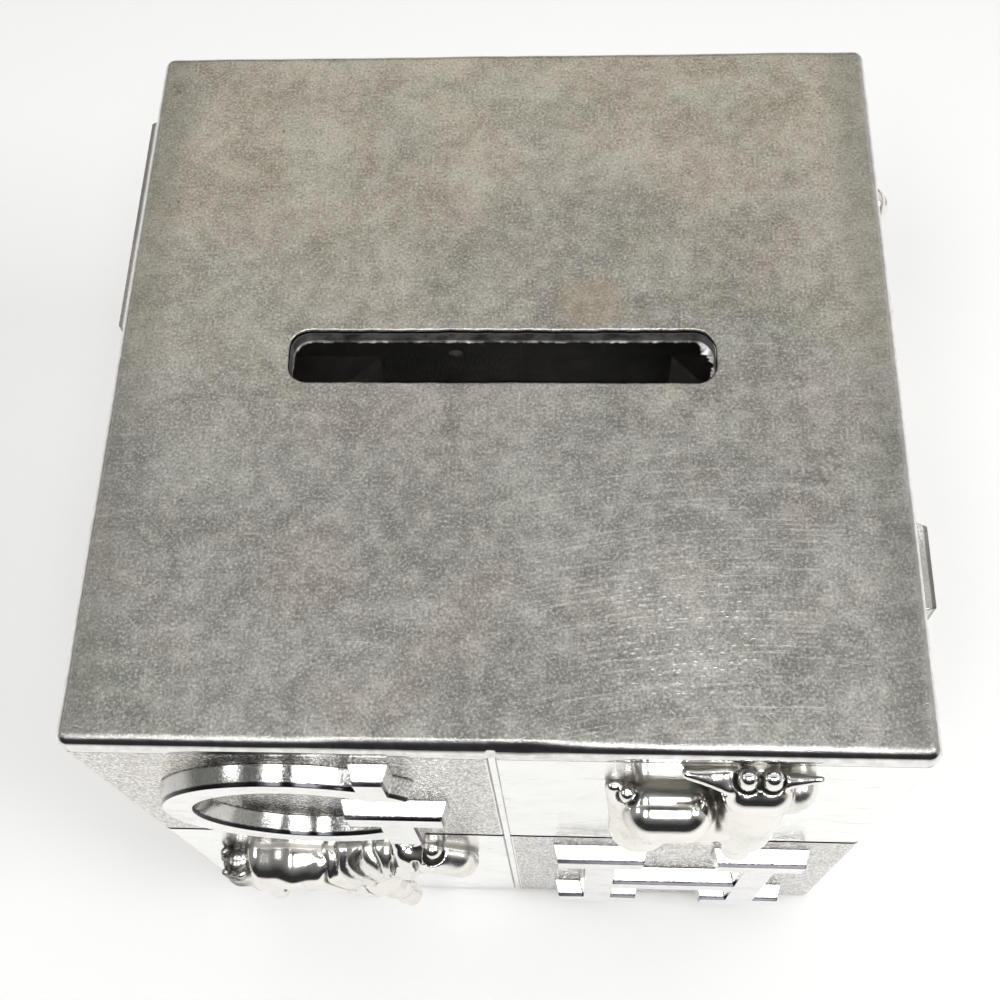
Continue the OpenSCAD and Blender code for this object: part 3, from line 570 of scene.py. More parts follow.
# Animals: each is a soft union of tapered limbs in its quarter's frame (right, up, out), cut off at the wall.
# A limb is (x, y, z, radius) at both ends, then its own blend and its own depth factor where it has them.
# Depths are divided by the figure's flat. Cuts take material away, and beads are added after them.
def limbField(x, y, z, limb):
    ax, ay, az, ar, bx, by, bz, br = limb[:8]
    dx, dy, dz = bx - ax, by - ay, bz - az
    square = dx * dx + dy * dy + dz * dz + 1e-9
    px, py, pz = x - ax, y - ay, z - az
    t = np.clip((px * dx + py * dy + pz * dz) / square, 0, 1)
    px, py, pz = px - t * dx, py - t * dy, pz - t * dz
    if len(limb) > 9:
        pz = pz / limb[9]
    return np.sqrt(px * px + py * py + pz * pz) - (ar + (br - ar) * t)


def nearLimb(x, y, z, limb, margin):
    reach = max(limb[3], limb[7]) + margin
    lowX, highX = min(limb[0], limb[4]) - reach, max(limb[0], limb[4]) + reach
    lowY, highY = min(limb[1], limb[5]) - reach, max(limb[1], limb[5]) + reach
    lowZ, highZ = min(limb[2], limb[6]) - reach, max(limb[2], limb[6]) + reach
    return np.nonzero((x > lowX) & (x < highX) & (y > lowY) & (y < highY) & (z > lowZ) & (z < highZ))[0]


def softMin(first, second, soft):
    close = np.maximum(soft - abs(first - second), 0) / soft
    return np.minimum(first, second) - close * close * soft * 0.25


def figureField(x, y, z, figure):
    field = np.full(len(x), 3.0)

    def blend(limbs, soft, margin, sign):
        for limb in limbs:
            near = nearLimb(x, y, z, limb, margin)
            other = limbField(x[near], y[near], z[near], limb)
            field[near] = sign * softMin(sign * field[near], other, limb[8] if len(limb) > 8 else soft)

    blend(figure["limbs"], figure["blend"], 2.4, 1)
    # Wave: (x, y) to (x, y) along, how many, how deep, how far to each side; it cuts valleys across that line
    for ax, ay, bx, by, count, deep, reach in figure.get("waves", []):
        long = math.hypot(bx - ax, by - ay)
        ux, uy = (bx - ax) / long, (by - ay) / long
        along = (x - ax) * ux + (y - ay) * uy
        across = abs((y - ay) * ux - (x - ax) * uy)
        inside = np.clip(along / 0.6, 0, 1) * np.clip((long - along) / 0.6, 0, 1)
        inside = inside * np.clip((reach - across) / 0.8, 0, 1)
        wander = 0.28 * np.sin(y * 0.9 + 1.3 * np.sin(along * 1.1)) + 0.2 * np.sin(z * 1.6 + along * 0.9)
        phase = along / long * count + wander * count / 6
        valley = (1 - np.sqrt(abs(np.sin(math.pi * phase)))) * (0.65 + 0.35 * np.sin(along * 2.3 + y * 0.7))
        field += deep * inside * valley * 1.5
    # Scales: (x, y, reach along x, reach along y, size, depth)
    for sx, sy, reachX, reachY, size, deep in figure.get("scales", []):
        inside = np.clip(2.5 * (1 - ((x - sx) / reachX) ** 2 - ((y - sy) / reachY) ** 2), 0, 1)
        row = np.floor((x - sx) / size)
        offX = (x - sx) / size - row - 0.35
        offY = (y - sy) / size + 0.5 * (row % 2)
        offY = offY - np.floor(offY) - 0.5
        field += deep * inside * np.clip(np.sqrt(offX * offX + offY * offY) * 2.4 - 0.7, 0, 1)
    blend(figure["cuts"], 0.25, 1, -1)
    blend(figure["beads"], 0.12, 2.4, 1)
    return np.maximum(field, -(z * figure["flat"] + 0.3))


def gradient(x, y, z, figure):
    step = 0.02
    slopes = [figureField(x + dx, y + dy, z + dz, figure) - figureField(x - dx, y - dy, z - dz, figure)
              for dx, dy, dz in np.eye(3) * step]
    return np.stack(slopes, 1) / (2 * step)


# Surface nets: one point in every grid cell that the surface crosses, and a quad round every crossed edge
def surfaceNet(field, origin, step):
    inside = field < 0
    size = np.array(field.shape) - 1
    corners = [(a, b, c) for a in (0, 1) for b in (0, 1) for c in (0, 1)]

    def corner(array, c):
        return array[c[0]:c[0] + size[0], c[1]:c[1] + size[1], c[2]:c[2] + size[2]]

    hits = sum(corner(inside, c).astype(np.int8) for c in corners)
    cellsHit = np.argwhere((hits > 0) & (hits < 8))
    total = np.zeros((len(cellsHit), 3))
    count = np.zeros(len(cellsHit))
    for axis in range(3):
        for c in corners:
            if c[axis]:
                continue
            d = tuple(c[i] + (i == axis) for i in range(3))
            first = field[tuple((cellsHit + c).T)]
            second = field[tuple((cellsHit + d).T)]
            crossed = (first < 0) != (second < 0)
            t = np.where(crossed, first / np.where(crossed, first - second, 1), 0)
            spot = np.array(c, float) + np.outer(t, np.eye(3)[axis])
            total += spot * crossed[:, None]
            count += crossed
    points = (cellsHit + total / count[:, None]) * step + origin
    number = np.full(tuple(size), -1)
    number[tuple(cellsHit.T)] = np.arange(len(cellsHit))
    quads = []
    for axis in range(3):
        one, two = [i for i in range(3) if i != axis]
        low = [slice(None)] * 3
        low[axis] = slice(0, -1)
        high = [slice(None)] * 3
        high[axis] = slice(1, None)
        change = inside[tuple(low)] != inside[tuple(high)]
        spots = np.argwhere(change)
        spots = spots[(spots[:, one] > 0) & (spots[:, one] < size[one])
                      & (spots[:, two] > 0) & (spots[:, two] < size[two])]
        leaving = inside[tuple(spots.T)]
        shifts = [(0, 0), (-1, 0), (-1, -1), (0, -1)]
        ring = []
        for a, b in shifts:
            cell = spots.copy()
            cell[:, one] += a
            cell[:, two] += b
            ring.append(number[tuple(cell.T)])
        ring = np.stack(ring, 1)
        if axis == 1:
            leaving = ~leaving
        ring[~leaving] = ring[~leaving][:, ::-1]
        quads.append(ring)
    return points, np.concatenate(quads)


# The radius and the level are one number each, or one for each point
def circle(x, y, radius, level, count):
    angles = np.linspace(0, 2 * math.pi, count, endpoint=False)
    return np.column_stack([x + radius * np.cos(angles), y + radius * np.sin(angles), np.full(count, level)])


# Pegs behind a figure, chamfered at their closed end
peg = {"radius": 1, "chamfer": 0.25, "from": 0.4, "to": -2.4, "around": 24}


def pegPieces(places, start):
    points, faces = [], []
    around, radius, end = peg["around"], peg["radius"], peg["to"]
    for x, y in places:
        base = start + len(points)
        loops = [circle(x, y, wide, level, around) for wide, level in (
            (radius - peg["chamfer"], end), (radius, end + 0.2), (radius, peg["from"]))]
        pegPoints, pegFaces = rings(loops, base)
        points += list(pegPoints)
        faces += pegFaces + [tuple(range(base + around - 1, base - 1, -1))]
    return points, faces


def buildFigure(name, figure, skin):
    flat = figure["flat"]
    step = 0.42 if block["coarse"] else 0.22
    spacing = np.array([step, step, step / flat])
    ends = np.array([limb[:8] for limb in figure["limbs"] + figure["beads"]])
    centres = np.concatenate([ends[:, 0:3], ends[:, 4:7]])
    radii = np.concatenate([ends[:, 3], ends[:, 7]])[:, None]
    low = (centres - radii).min(0) - 1
    high = (centres + radii).max(0) + 1
    low[2] = -0.7 / flat
    counts = np.ceil((high - low) / spacing).astype(int) + 1
    grid = np.meshgrid(*[low[i] + spacing[i] * np.arange(counts[i]) for i in range(3)], indexing="ij")
    field = figureField(grid[0].ravel(), grid[1].ravel(), grid[2].ravel(), figure).reshape(counts)
    points, quads = surfaceNet(field, low, spacing)
    for turn in range(3):
        x, y, z = points.T
        slope = gradient(x, y, z, figure)
        push = (figureField(x, y, z, figure) / np.maximum((slope ** 2).sum(1), 0.2))[:, None] * slope
        free = points[:, 2] * flat > -0.25
        points[free] -= np.clip(push[free], -0.2, 0.2)
    # How hollow each place is: how far the field falls short of steps outwards
    x, y, z = points.T
    slope = gradient(x, y, z, figure)
    slope[:, 2] /= flat
    slope /= np.linalg.norm(slope, axis=1)[:, None] + 1e-9
    slope[:, 2] /= flat
    hollow = np.zeros(len(points))
    for reach in (0.35, 0.8, 1.6):
        outX, outY, outZ = (points + slope * reach).T
        clear = np.minimum(figureField(outX, outY, outZ, figure), np.maximum(outZ * flat, 0))
        hollow += np.clip(1 - clear / reach, 0, 1) / 3
    points[:, 2] *= flat
    pegPoints, pegFaces = pegPieces(figure["pegs"], len(points))
    every = np.concatenate([points, pegPoints])
    side, acrossSide, upSide = figure["place"]
    every += np.array([acrossSide, upSide, 0]) * block["quarter"]
    faces = quads.tolist() + pegFaces
    layers = {"recess": hollow}
    for label in ("satin", "dark"):
        layers[label] = np.zeros(len(points))
        for spotX, spotY, reach in figure.get(label, []):
            away = np.hypot(points[:, 0] - spotX, points[:, 1] - spotY)
            layers[label] = np.maximum(layers[label], np.clip(1.6 - 1.6 * away / reach, 0, 1))
    made = addPiece(name + ".figure", fromSide(every, side), faces, "bank", skin, name)
    for label, values in layers.items():
        values = np.concatenate([values, np.zeros(len(pegPoints))]).astype(np.float32)
        made.data.attributes.new(label, "FLOAT", "POINT").data.foreach_set("value", values)
    print("figure", name, len(points), "points")


# Wavy locks that wind down round a tapering tail, as chains of short limbs
def curls(top, bottom, startRadius, endRadius, strands):
    locks = []
    for strand in range(strands):
        spots = []
        for turn in range(9):
            share = turn / 8
            angle = 2 * math.pi * strand / strands + 1.5 * math.sin(3.3 * share + strand * 1.7) + 0.8 * share
            radius = startRadius + (endRadius - startRadius) * share
            spots.append([top[i] + (bottom[i] - top[i]) * share for i in range(3)])
            spots[-1][0] += radius * math.cos(angle)
            spots[-1][2] += radius * math.sin(angle)
        for first, second in zip(spots, spots[1:]):
            if first[2] > -0.3 or second[2] > -0.3:
                locks.append((*first, 0.42, *second, 0.36, 0.15))
    return locks


def polished():
    made, skin, point = material("polishedFigures", 1, 0.1)
    recess, satin, dark = [point.node("ShaderNodeAttribute", {"attribute_name": name}, None, 2)
                           for name in ("recess", "satin", "dark")]
    blot = noise(point, 2.4, 4, 0.6, 0.5, 60)
    fine = noise(point, 0.35, 3, 0.6, 0, 61)
    wear = rise(blot, 0.45, 0.8)
    colour = mixed(wear * 0.6, (0.86, 0.845, 0.80), (0.70, 0.675, 0.62))
    grime = rise(recess + (fine - 0.5) * 0.25 + (blot - 0.5) * 0.2, 0.28, 0.62)
    colour = mixed(grime * 0.8, colour, (0.20, 0.185, 0.165))
    satin = satin * (0.5 + 0.5 * rise(blot, 0.25, 0.6))
    colour = mixed(satin * rise(fine, 0.35, 0.7) * 0.5, colour, (0.66, 0.65, 0.61))
    # The horse's tail is a dark rough knot
    colour = mixed(dark * (0.75 + 0.25 * rise(fine, 0.6, 0.4)), colour, (0.045, 0.042, 0.038))
    rough = 0.12 + wear * 0.08 + grime * 0.3 + rise(fine, 0.6, 0.8) * 0.04 + satin * 0.28 + dark * 0.2
    finishWith(skin, point, colour, rough, fine * 0.25 + blot * 0.5 + satin * fine * 0.6, 0.012)
    return made


# A ball, very slightly drawn out upwards
def dot(x, y, z, radius, longer=0.05, *soft):
    return (x, y, z, radius, x, y + longer, z, radius, *soft)


# Limbs that follow one another through places given as (x, y, z, radius)
def chain(*spots):
    return [first + second for first, second in zip(spots, spots[1:])]


# Each limb after its mirror image
def both(*limbs):
    pairs = []
    for limb in limbs:
        pairs += [(-limb[0], *limb[1:4], -limb[4], *limb[5:]), limb]
    return pairs


figures = {
    "giraffe": {
        "place": (0, 1, 1), "flat": 1, "blend": 0.9, "pegs": [(-3, 3), (4, 1)],
        "limbs": [
            # Barrel, and the leaf-shaped haunch in front of its end
            (-5, 6.7, 1.7, 2.25, -1.6, 6.7, 1.7, 2.25, 1.2), (-5, 6.55, 2.5, 2.15, -2, 6.55, 2.5, 2.15, 1.4),
            (-4.6, 3.4, 1.5, 2.9, 1.4, 3.2, 1.3, 2.7, 1.2),
            (-8.2, 9, 0.4, 0.9, -5.8, 0.6, 2.5, 2.6, 0.2, 0.85),
            (-7.2, 8.4, 0.6, 0.9, -5.2, 1.2, 2.9, 2.1, 0.3, 0.85),
            # Hind legs
            (-6.2, 1.6, 1.7, 2.3, -6.4, -4, 0.9, 1.5), (-6.4, -4.2, 0.8, 1.4, -6.9, -7.6, 0.7, 1.1),
            (-6.9, -7.6, 0.7, 1.15, -6.3, -11.4, 0.7, 0.95),
            (-6.2, -11.8, 0.8, 1.2, -5.7, -12.3, 0.9, 1.1, 0.3),
            *chain((-4.4, 0, 0.5, 1.8), (-3.6, -6.4, 0.4, 1.1), (-3.8, -11.6, 0.4, 0.95)),
            (-3.7, -11.9, 0.5, 1.15, -3.3, -12.2, 0.5, 1.05, 0.3),
            # Shoulder, chest and forelegs
            (3.7, 8.4, 0.7, 2.4, 4.1, -0.4, 1.9, 2.7, 0.4, 0.95), (5.2, 2.6, 1.2, 2.2, 4.9, -2.6, 1.4, 1.9),
            (4.4, -2.6, 2, 1.9, 4.1, -7.4, 1.7, 1.3), (4.1, -7.4, 1.8, 1.35, 4.3, -11.2, 1.8, 1.05),
            (4.4, -11.8, 1.9, 1.35, 4.9, -12.3, 2, 1.2, 0.3),
            *chain((1.9, -1, 0.6, 1.9), (1.5, -7, 0.5, 1.2), (1.6, -11.4, 0.5, 1)),
            (1.7, -11.8, 0.6, 1.2, 2.1, -12.2, 0.6, 1.1, 0.3),
            # Neck with its lobe at the right, then head and muzzle
            (4.3, 5.4, 0.8, 3.1, 5, 9.8, 0.5, 2.7), (7.1, 10.3, 0.5, 2.3, 7.5, 11.3, 0.7, 2, 0.3),
            (3.9, 14.4, 0.2, 2, 4, 13.4, 0.6, 2.2, 0.5), (2.95, 13.1, 1.4, 2.1, 5.05, 13.1, 1.4, 2.1, 0.3),
            # Ears: the left one a cupped leaf, the right one a narrow cone
            (-2.1, 15, 0.5, 0.36, 1.4, 14.9, 1.6, 0.62, 0.7),
            (-2.1, 15, 0.45, 0.36, 1.2, 15.1, 0.4, 0.85, 0.7),
            (1, 14.9, 0.6, 0.9, 2.4, 14.6, 0.8, 0.9, 0.5), (9.3, 15.1, 0.8, 0.26, 6.2, 15, 0.95, 0.8, 0.4)],
        "cuts": [
            dot(2.95, 15.7, 1.2, 1.2, 0.05, 0.1), dot(5.05, 15.75, 1.2, 1.2, 0.05, 0.1),
            dot(-7.1, 8.9, 1.2, 0.95, 0.05, 0.1),
            (1.6, 9.4, 2.4, 0.5, 0.3, 7, 4.2, 0.5, 0.4)],
        "beads": [
            (2.95, 15.75, 1.1, 0.94, 2.95, 16.1, 1, 0.9), (5.05, 15.8, 1.1, 0.94, 5.05, 16.15, 1, 0.9),
            dot(-7.1, 9.1, 1.05, 0.78)],
        "satin": [(7.4, 10.8, 3), (-7.6, 6.4, 2.4), (-6.4, 3.4, 2.6), (4, 4, 3.6)]},
    "horse": {
        "place": (0, -1, -1), "flat": 1, "blend": 0.9, "pegs": [(-9, 3), (0, 2)],
        "limbs": [
            # Barrel and belly
            (-9.6, 7, -0.1, 2.5, -6, 7.2, -0.1, 2.65, 0.9, 1.6),
            (-6, 7.2, -0.1, 2.65, -2.2, 7, -0.1, 2.5, 0.9, 1.6),
            (-8.8, 3, -0.1, 3.6, -3, 2.6, -0.2, 3.5, 0.9, 1.1),
            # Tail and rump
            (-12.7, 6.9, 1.5, 1.7, -13.3, 1.2, 1.5, 1.8, 0.4),
            (-13.3, 1.2, 1.5, 1.8, -13.6, -3.4, 1.2, 1.2, 0.5),
            (-10.4, 1.6, 0.8, 3, -11.2, -2.8, 1, 2.2),
            # Hind legs
            (-11.2, -3, 1.1, 2, -12, -7, 1.1, 1.25), (-12, -7, 1.1, 1.3, -11.4, -10, 1.4, 1.05),
            (-11.4, -10.6, 1.5, 1.4, -10.8, -11.2, 1.7, 1.3, 0.3),
            *chain((-7.6, -0.6, 0.4, 2.3), (-6.8, -6, 0.4, 1.3), (-7.4, -10.6, 0.5, 1)),
            (-7.4, -11.2, 0.6, 1.3, -6.9, -11.6, 0.7, 1.2, 0.3),
            # Chest, raised foreleg and standing foreleg
            (-0.4, 3.4, 0, 4.4, 1.6, 1, 0.6, 3.5),
            *chain((2.2, 1.8, 1.3, 2.9), (5, -1.2, 2.1, 1.7), (5, -6.4, 1.8, 1.1)),
            (5, -6.4, 1.9, 1.2, 5.4, -8.6, 2, 1.2),
            (5.5, -9, 2.1, 1.5, 6, -9.9, 2.3, 1.35, 0.3),
            *chain((0.6, -1.6, 0.6, 2.2), (0.4, -7, 0.5, 1.3), (0.2, -11, 0.6, 1)),
            (0.3, -11.4, 0.7, 1.3, 0.7, -11.8, 0.8, 1.2, 0.3),
            # Neck, cheek, ears and snout
            (-0.8, 5.2, -0.5, 4.5, 5.4, 8.8, -0.2, 3.5, 0.6),
            (7.3, 12, 0.7, 1.5, 7.2, 8.4, 1.4, 1.9, 0.3), (6.9, 12.8, 0.5, 1.1, 6.2, 14.4, 0.1, 0.4, 0.5),
            (8.8, 11.4, 0.3, 2.6, 12.8, 9.4, 0.4, 2.35), (12.6, 9.2, 0.6, 2.2, 13.4, 7.8, 0.8, 2, 0.5),
            (9.4, 9, 0.6, 2, 11.8, 7, 0.9, 1.5, 0.5), (9, 12.8, 0.5, 1, 8.8, 14.4, 0.1, 0.4, 0.5)],
        "cuts": [
            dot(10.4, 12.6, 0.9, 1.4, 0.05, 0.1), (10.6, 7.8, 2.6, 0.32, 11.5, 8.1, 2.8, 0.26, 0.15),
            (13, 5.8, 1.7, 0.2, 15.4, 7.2, 1.2, 0.2, 0.2), (8.6, 13, 2.2, 0.3, 9, 8.6, 3.1, 0.35, 0.3),
            (6, 12.8, 1.6, 0.3, 5.7, 7.6, 3.3, 0.35, 0.3)],
        "beads": [dot(10.4, 12.7, 0.5, 1.2)] + curls((-12.7, 8, 1.5), (-13.6, -4.2, 1.2), 1.75, 1.2, 8),
        "waves": [(-1.9, 5, 6.2, 9.2, 6, 0.34, 6.4)], "satin": [(4, 7, 5.5), (11.5, 8.6, 4.6), (3, -3, 6)],
        "dark": [(-13.6, 6.6, 3.4), (-14, 2, 3), (-13.8, -2.6, 2.6)]},
    "alligator": {
        "place": (1, 1, 1), "flat": 0.6, "blend": 1, "pegs": [(-6, 0), (4, 0)],
        "limbs": [
            (-5.4, 3, 0.8, 5.3, 1.4, 3, 0.8, 4.8), (1.4, 3.2, 0.8, 4.2, 7, 4.4, 1.2, 3.5),
            (7, 4.2, 1.4, 2.8, 14, 2.9, 1.2, 1.25), (7, 2.8, 1, 2.4, 13.6, 1, 0.8, 1.05, 0.4),
            (6.2, 7.9, 3.2, 2, 5.8, 7.5, 3.2, 2, 0.6),
            *chain((-5.6, 3, 0.6, 4.4), (-11.8, 4.6, 0.6, 2.6), (-13.4, 9.4, 0.6, 1.4),
                   (-10.4, 12.4, 0.6, 0.8)),
            (-6.4, 0, 2, 2.5, -8.4, -5.4, 2, 1.6), (-8.4, -5.4, 2, 1.5, -5.4, -6.8, 2.2, 1.2),
            (2.6, 0, 2, 2.2, 1.8, -5.4, 2, 1.5), (1.8, -5.4, 2, 1.4, 4.8, -6.8, 2.2, 1.2),
            *[(x, 7.4, 1.4, 1.3, x, 8.9, 1.4, 0.7, 0.3) for x in (-9, -6, -3, 0)],
            (-14.2, 7.4, 0.8, 0.9, -15, 8.2, 0.8, 0.4, 0.3),
            (-13.8, 10.6, 0.8, 0.8, -14.2, 11.6, 0.8, 0.4, 0.3),
            (13.6, 3.9, 1.4, 0.7, 13.5, 4.2, 1.6, 0.6, 0.3)],
        "cuts": [(8.4, 3.4, 5, 0.35, 14.8, 1.9, 2.4, 0.25, 0.2), (6.9, 4.4, 5.8, 0.3, 8.4, 3.4, 5, 0.35, 0.2),
                 dot(6.3, 7.9, 5, 1.15, -0.1, 0.1), (13.6, 4.2, 2.2, 0.25, 13.5, 4.3, 2.3, 0.25)],
        "beads": [dot(6.3, 7.9, 4.7, 1, -0.05)] + [
            (8 + 1.15 * i, 2.75 - 0.24 * i, 4.3 - 0.42 * i, 0.32,
             8.1 + 1.15 * i, 3.3 - 0.24 * i, 4.3 - 0.42 * i, 0.12, 0.05) for i in range(6)],
        "scales": [(-3, 3, 9.5, 4.6, 1.35, 0.3)], "waves": [(-7.6, 3.6, -13.2, 8.6, 5, 0.35, 3.6)]},
    "bear": {
        "place": (1, -1, -1), "flat": 0.6, "blend": 1.1, "pegs": [(0, -5), (0, 3)],
        "limbs": [
            (0, -5.5, 0.4, 5.2, 0, 0, 0.4, 4.6), (0, 7.4, 0.8, 4.3, 0, 7, 0.8, 4.4),
            (0, 6, 2.6, 2.3, 0, 5.8, 3.8, 1.6)] + both(
            (3.6, 10.8, 1, 1.7, 3.6, 10.9, 1.2, 1.7, 0.4), (4, 1.2, 1, 2.1, 7.4, -3.6, 1.8, 1.8, 0.5),
            (3.6, -8.2, 1.4, 2.6, 8, -10, 2, 2.1, 0.5), (8.4, -9.2, 2.2, 2, 8.6, -11, 2.2, 1.6)),
        "cuts": both(dot(3.6, 11, 3, 0.9, 0.1, 0.3), dot(1.7, 8.6, 4.9, 0.8, 0.1, 0.1)) + [
            (0, 5.6, 5.4, 0.14, 0, 4.5, 5.1, 0.14, 0.1)] + both(
            (1.1, 4.7, 4.8, 0.14, 0, 4.4, 5.2, 0.14, 0.1), (7.7, -5, 3.4, 0.16, 8.3, -3.9, 3.5, 0.16)),
        "beads": both(dot(1.7, 8.6, 4.6, 0.6)) + [(-0.3, 6.5, 5.3, 0.6, 0.3, 6.5, 5.3, 0.6, 0.1)] + [
            (s * (8 + 0.9 * i), -11.6 + 0.4 * abs(i), 3.4, 0.5,
             s * (8 + 0.9 * i), -12.3 + 0.4 * abs(i), 3, 0.4, 0.15) for s in (-1, 1) for i in (-1, 0, 1)]},
    "cat": {
        "place": (2, 1, 1), "flat": 0.6, "blend": 1, "pegs": [(0, -5), (0, 3)],
        "limbs": [
            (-1, -6.5, 0.4, 5.6, 1, 0, 0.4, 4.2), (1, 0, 0.6, 3.6, 1.6, 6.4, 0.8, 3.2),
            (1.6, 7.6, 1, 3.9, 2, 7.2, 1.4, 3.8),
            (2, 5.9, 3.4, 1.5, 2.7, 5.8, 3.9, 1.2, 0.5), (-0.9, 10, 1, 1.5, -1.6, 12.8, 1, 0.6, 0.4),
            (4.2, 10, 1, 1.5, 5, 12.8, 1, 0.6, 0.4),
            (3.4, -2, 1.4, 1.9, 4.2, -9.6, 1.6, 1.5, 0.6), (1, -3, 2.2, 1.8, 1.4, -9.8, 2.6, 1.5, 0.6),
            (4.4, -10.6, 1.8, 1.5, 5.6, -11, 1.8, 1.3, 0.3), (1.6, -10.6, 2.8, 1.5, 2.8, -11, 2.8, 1.3, 0.3),
            (-3.4, -7.6, 1.6, 3.6, -2.6, -9.6, 2, 2.6, 0.5),
            *chain((-5, -10.6, 0.8, 1.6), (-9, -8, 0.8, 1.3), (-9.4, -3, 0.8, 1.1))],
        "cuts": [(-1.1, 10.4, 2.3, 0.6, -1.5, 11.8, 1.9, 0.35, 0.2),
                 (4.5, 10.4, 2.3, 0.6, 4.8, 11.8, 1.9, 0.35, 0.2),
                 dot(0.4, 8.4, 4.9, 0.85, 0.1, 0.1), dot(3.5, 8.4, 4.9, 0.85, 0.1, 0.1),
                 (2.1, 6.1, 5.4, 0.13, 2.1, 4.9, 5, 0.13, 0.1),
                 (1.1, 4.9, 4.9, 0.13, 2.1, 4.7, 5.2, 0.13, 0.1),
                 (3.1, 4.9, 4.9, 0.13, 2.1, 4.7, 5.2, 0.13, 0.1),
                 (-4.6, -4.6, 4.2, 0.2, -6.6, -8.4, 3.4, 0.2, 0.3)],
        "beads": [dot(0.4, 8.4, 4.5, 0.68), dot(3.5, 8.4, 4.5, 0.68),
                  (1.8, 6.7, 4.9, 0.4, 2.4, 6.7, 4.9, 0.4, 0.1)] + [
            (a + 0.75 * i, -11.4, b, 0.42, a + 0.75 * i, -11.9, b - 0.3, 0.36, 0.12)
            for a, b in ((5.3, 2.9), (2.5, 4)) for i in (-1, 0, 1)],
        "waves": [(-6.4, -10, -9.6, -3, 6, 0.16, 1.9)]},
    "duck": {
        "place": (2, -1, -1), "flat": 0.6, "blend": 1, "pegs": [(-6, 0), (4, 0)],
        "limbs": [
            (-4, -3, 0.4, 5.6, 3, -3.4, 0.4, 5.2), (-6, -1.6, 0.4, 4, -12.6, 3.4, 0.6, 1.3),
            (4.6, -2, 0.4, 4.2, 6.4, 4, 0.6, 2.8),
            (6.8, 7, 0.8, 3.6, 7.4, 7, 1, 3.5, 0.6), (9.6, 6.6, 1.2, 1.6, 13.4, 6.2, 1.2, 0.85, 0.4),
            (9.6, 5.8, 1.2, 1.5, 13.1, 5.1, 1.2, 0.8, 0.3),
            (-2, -2.4, 3.2, 3.2, -7, -1, 2.6, 1.9, 0.3), (2, -3, 3, 2.6, -2, -2.4, 3.2, 3, 0.3),
            (-1, -8, 1.4, 1.4, 0, -10.4, 2, 1.1), (0, -10.6, 2, 1.1, 3, -11, 2, 0.9, 0.4),
            (3, -8, 1, 1.3, 4.4, -10.2, 1.4, 1)],
        "cuts": [(9.4, 6.1, 3.4, 0.2, 14.4, 5.6, 2.2, 0.2, 0.15), dot(7.6, 8.3, 4.4, 0.85, 0.1, 0.1),
                 (10.8, 7.3, 2.8, 0.2, 11.4, 7.2, 2.7, 0.2),
                 (4, 4.6, 3.6, 0.16, 9.4, 4.6, 3.6, 0.16, 0.3)],
        "beads": [dot(7.6, 8.3, 4.1, 0.68)],
        "scales": [(-2.2, -2.4, 6.2, 3.4, 1.3, 0.34)], "waves": [(-7.6, 0, -13.2, 4, 4, 0.25, 3)]},
    "elephant": {
        "place": (3, 1, 1), "flat": 0.6, "blend": 1.1, "pegs": [(-6, 0), (4, 0)],
        "limbs": [
            (-6, 1.6, 0.4, 6.6, 1, 1.8, 0.4, 6.2), (6.6, 4.6, 0.6, 5, 7, 3.6, 0.8, 4.8),
            (4.6, 3.4, 2.8, 3.4, 3.6, 1, 2.8, 2.4, 0.25),
            *chain((10, 3, 1, 2.8), (12.8, -2.4, 1.2, 1.9), (12.6, -7.6, 1.4, 1.3), (14.4, -9.6, 1.4, 1)),
            (9, 0.4, 2.2, 0.9, 11.6, -1, 3, 0.6, 0.2), (-9, -2, 1.2, 3.2, -9.4, -9.6, 1.6, 2.3),
            (-4, -2, 0.6, 2.8, -4.2, -9.8, 1, 2.1),
            (0, -2, 0.6, 2.8, -0.2, -9.8, 1, 2.1), (4.4, -2, 1.2, 3, 4.8, -9.6, 1.6, 2.3),
            (-12, 3.4, 0.8, 0.9, -13.6, -3.4, 0.8, 0.8)],
        "cuts": [dot(8.6, 5.6, 5.2, 0.85, 0.1, 0.1), (3.9, 4.4, 6.6, 1.6, 3.4, 2, 6.4, 1.4, 0.8),
                 (13.6, -9.4, 2.6, 0.3, 14.8, -10.4, 2.2, 0.3),
                 (-8, -3.4, 5, 0.2, -6.6, 1.6, 5, 0.2, 0.4), (-14, -4.4, 1.6, 0.15, -13.6, -2.4, 2, 0.1)],
        "beads": [dot(8.6, 5.6, 4.9, 0.66)] + [
            (a + 1.1 * i, -11.5, b, 0.5, a + 1.1 * i, -11, b, 0.5, 0.12)
            for a, b in ((-9.4, 3), (4.8, 3)) for i in (-1, 0, 1)],
        "waves": [(11, 1.4, 12.9, -8.4, 8, 0.3, 3)]},
    "fish": {
        "place": (3, -1, -1), "flat": 0.6, "blend": 0.9, "pegs": [(-6, 0), (4, 0)],
        "limbs": [
            (-3, 0, 0.4, 5.4, 5, 0.2, 0.4, 5.2), (5, 0, 0.6, 4.6, 10.6, -0.6, 0.6, 2.5),
            (-4, 0, 0.4, 4.4, -10, 0.4, 0.6, 2),
            (-10, 0.6, 0.8, 1.6, -14, 5.6, 0.8, 1), (-10, 0.2, 0.8, 1.6, -14, -5, 0.8, 1),
            (-10, 0.4, 0.8, 1.8, -12.6, 0.4, 0.8, 1.4),
            *chain((-4, 4.6, 0.8, 1.6), (-1, 8.2, 0.8, 1), (4, 5, 0.8, 1.4)),
            (0, -4.6, 0.8, 1.5, -3, -7.6, 0.8, 0.9),
            (3, -1.4, 4.2, 1.4, -0.8, -2.6, 4.4, 0.9, 0.2)],
        "cuts": [dot(8.4, 1.9, 4.3, 1.25, 0.1, 0.1), (10.6, -1.6, 3.4, 0.2, 13.6, -1, 1.6, 0.2, 0.15),
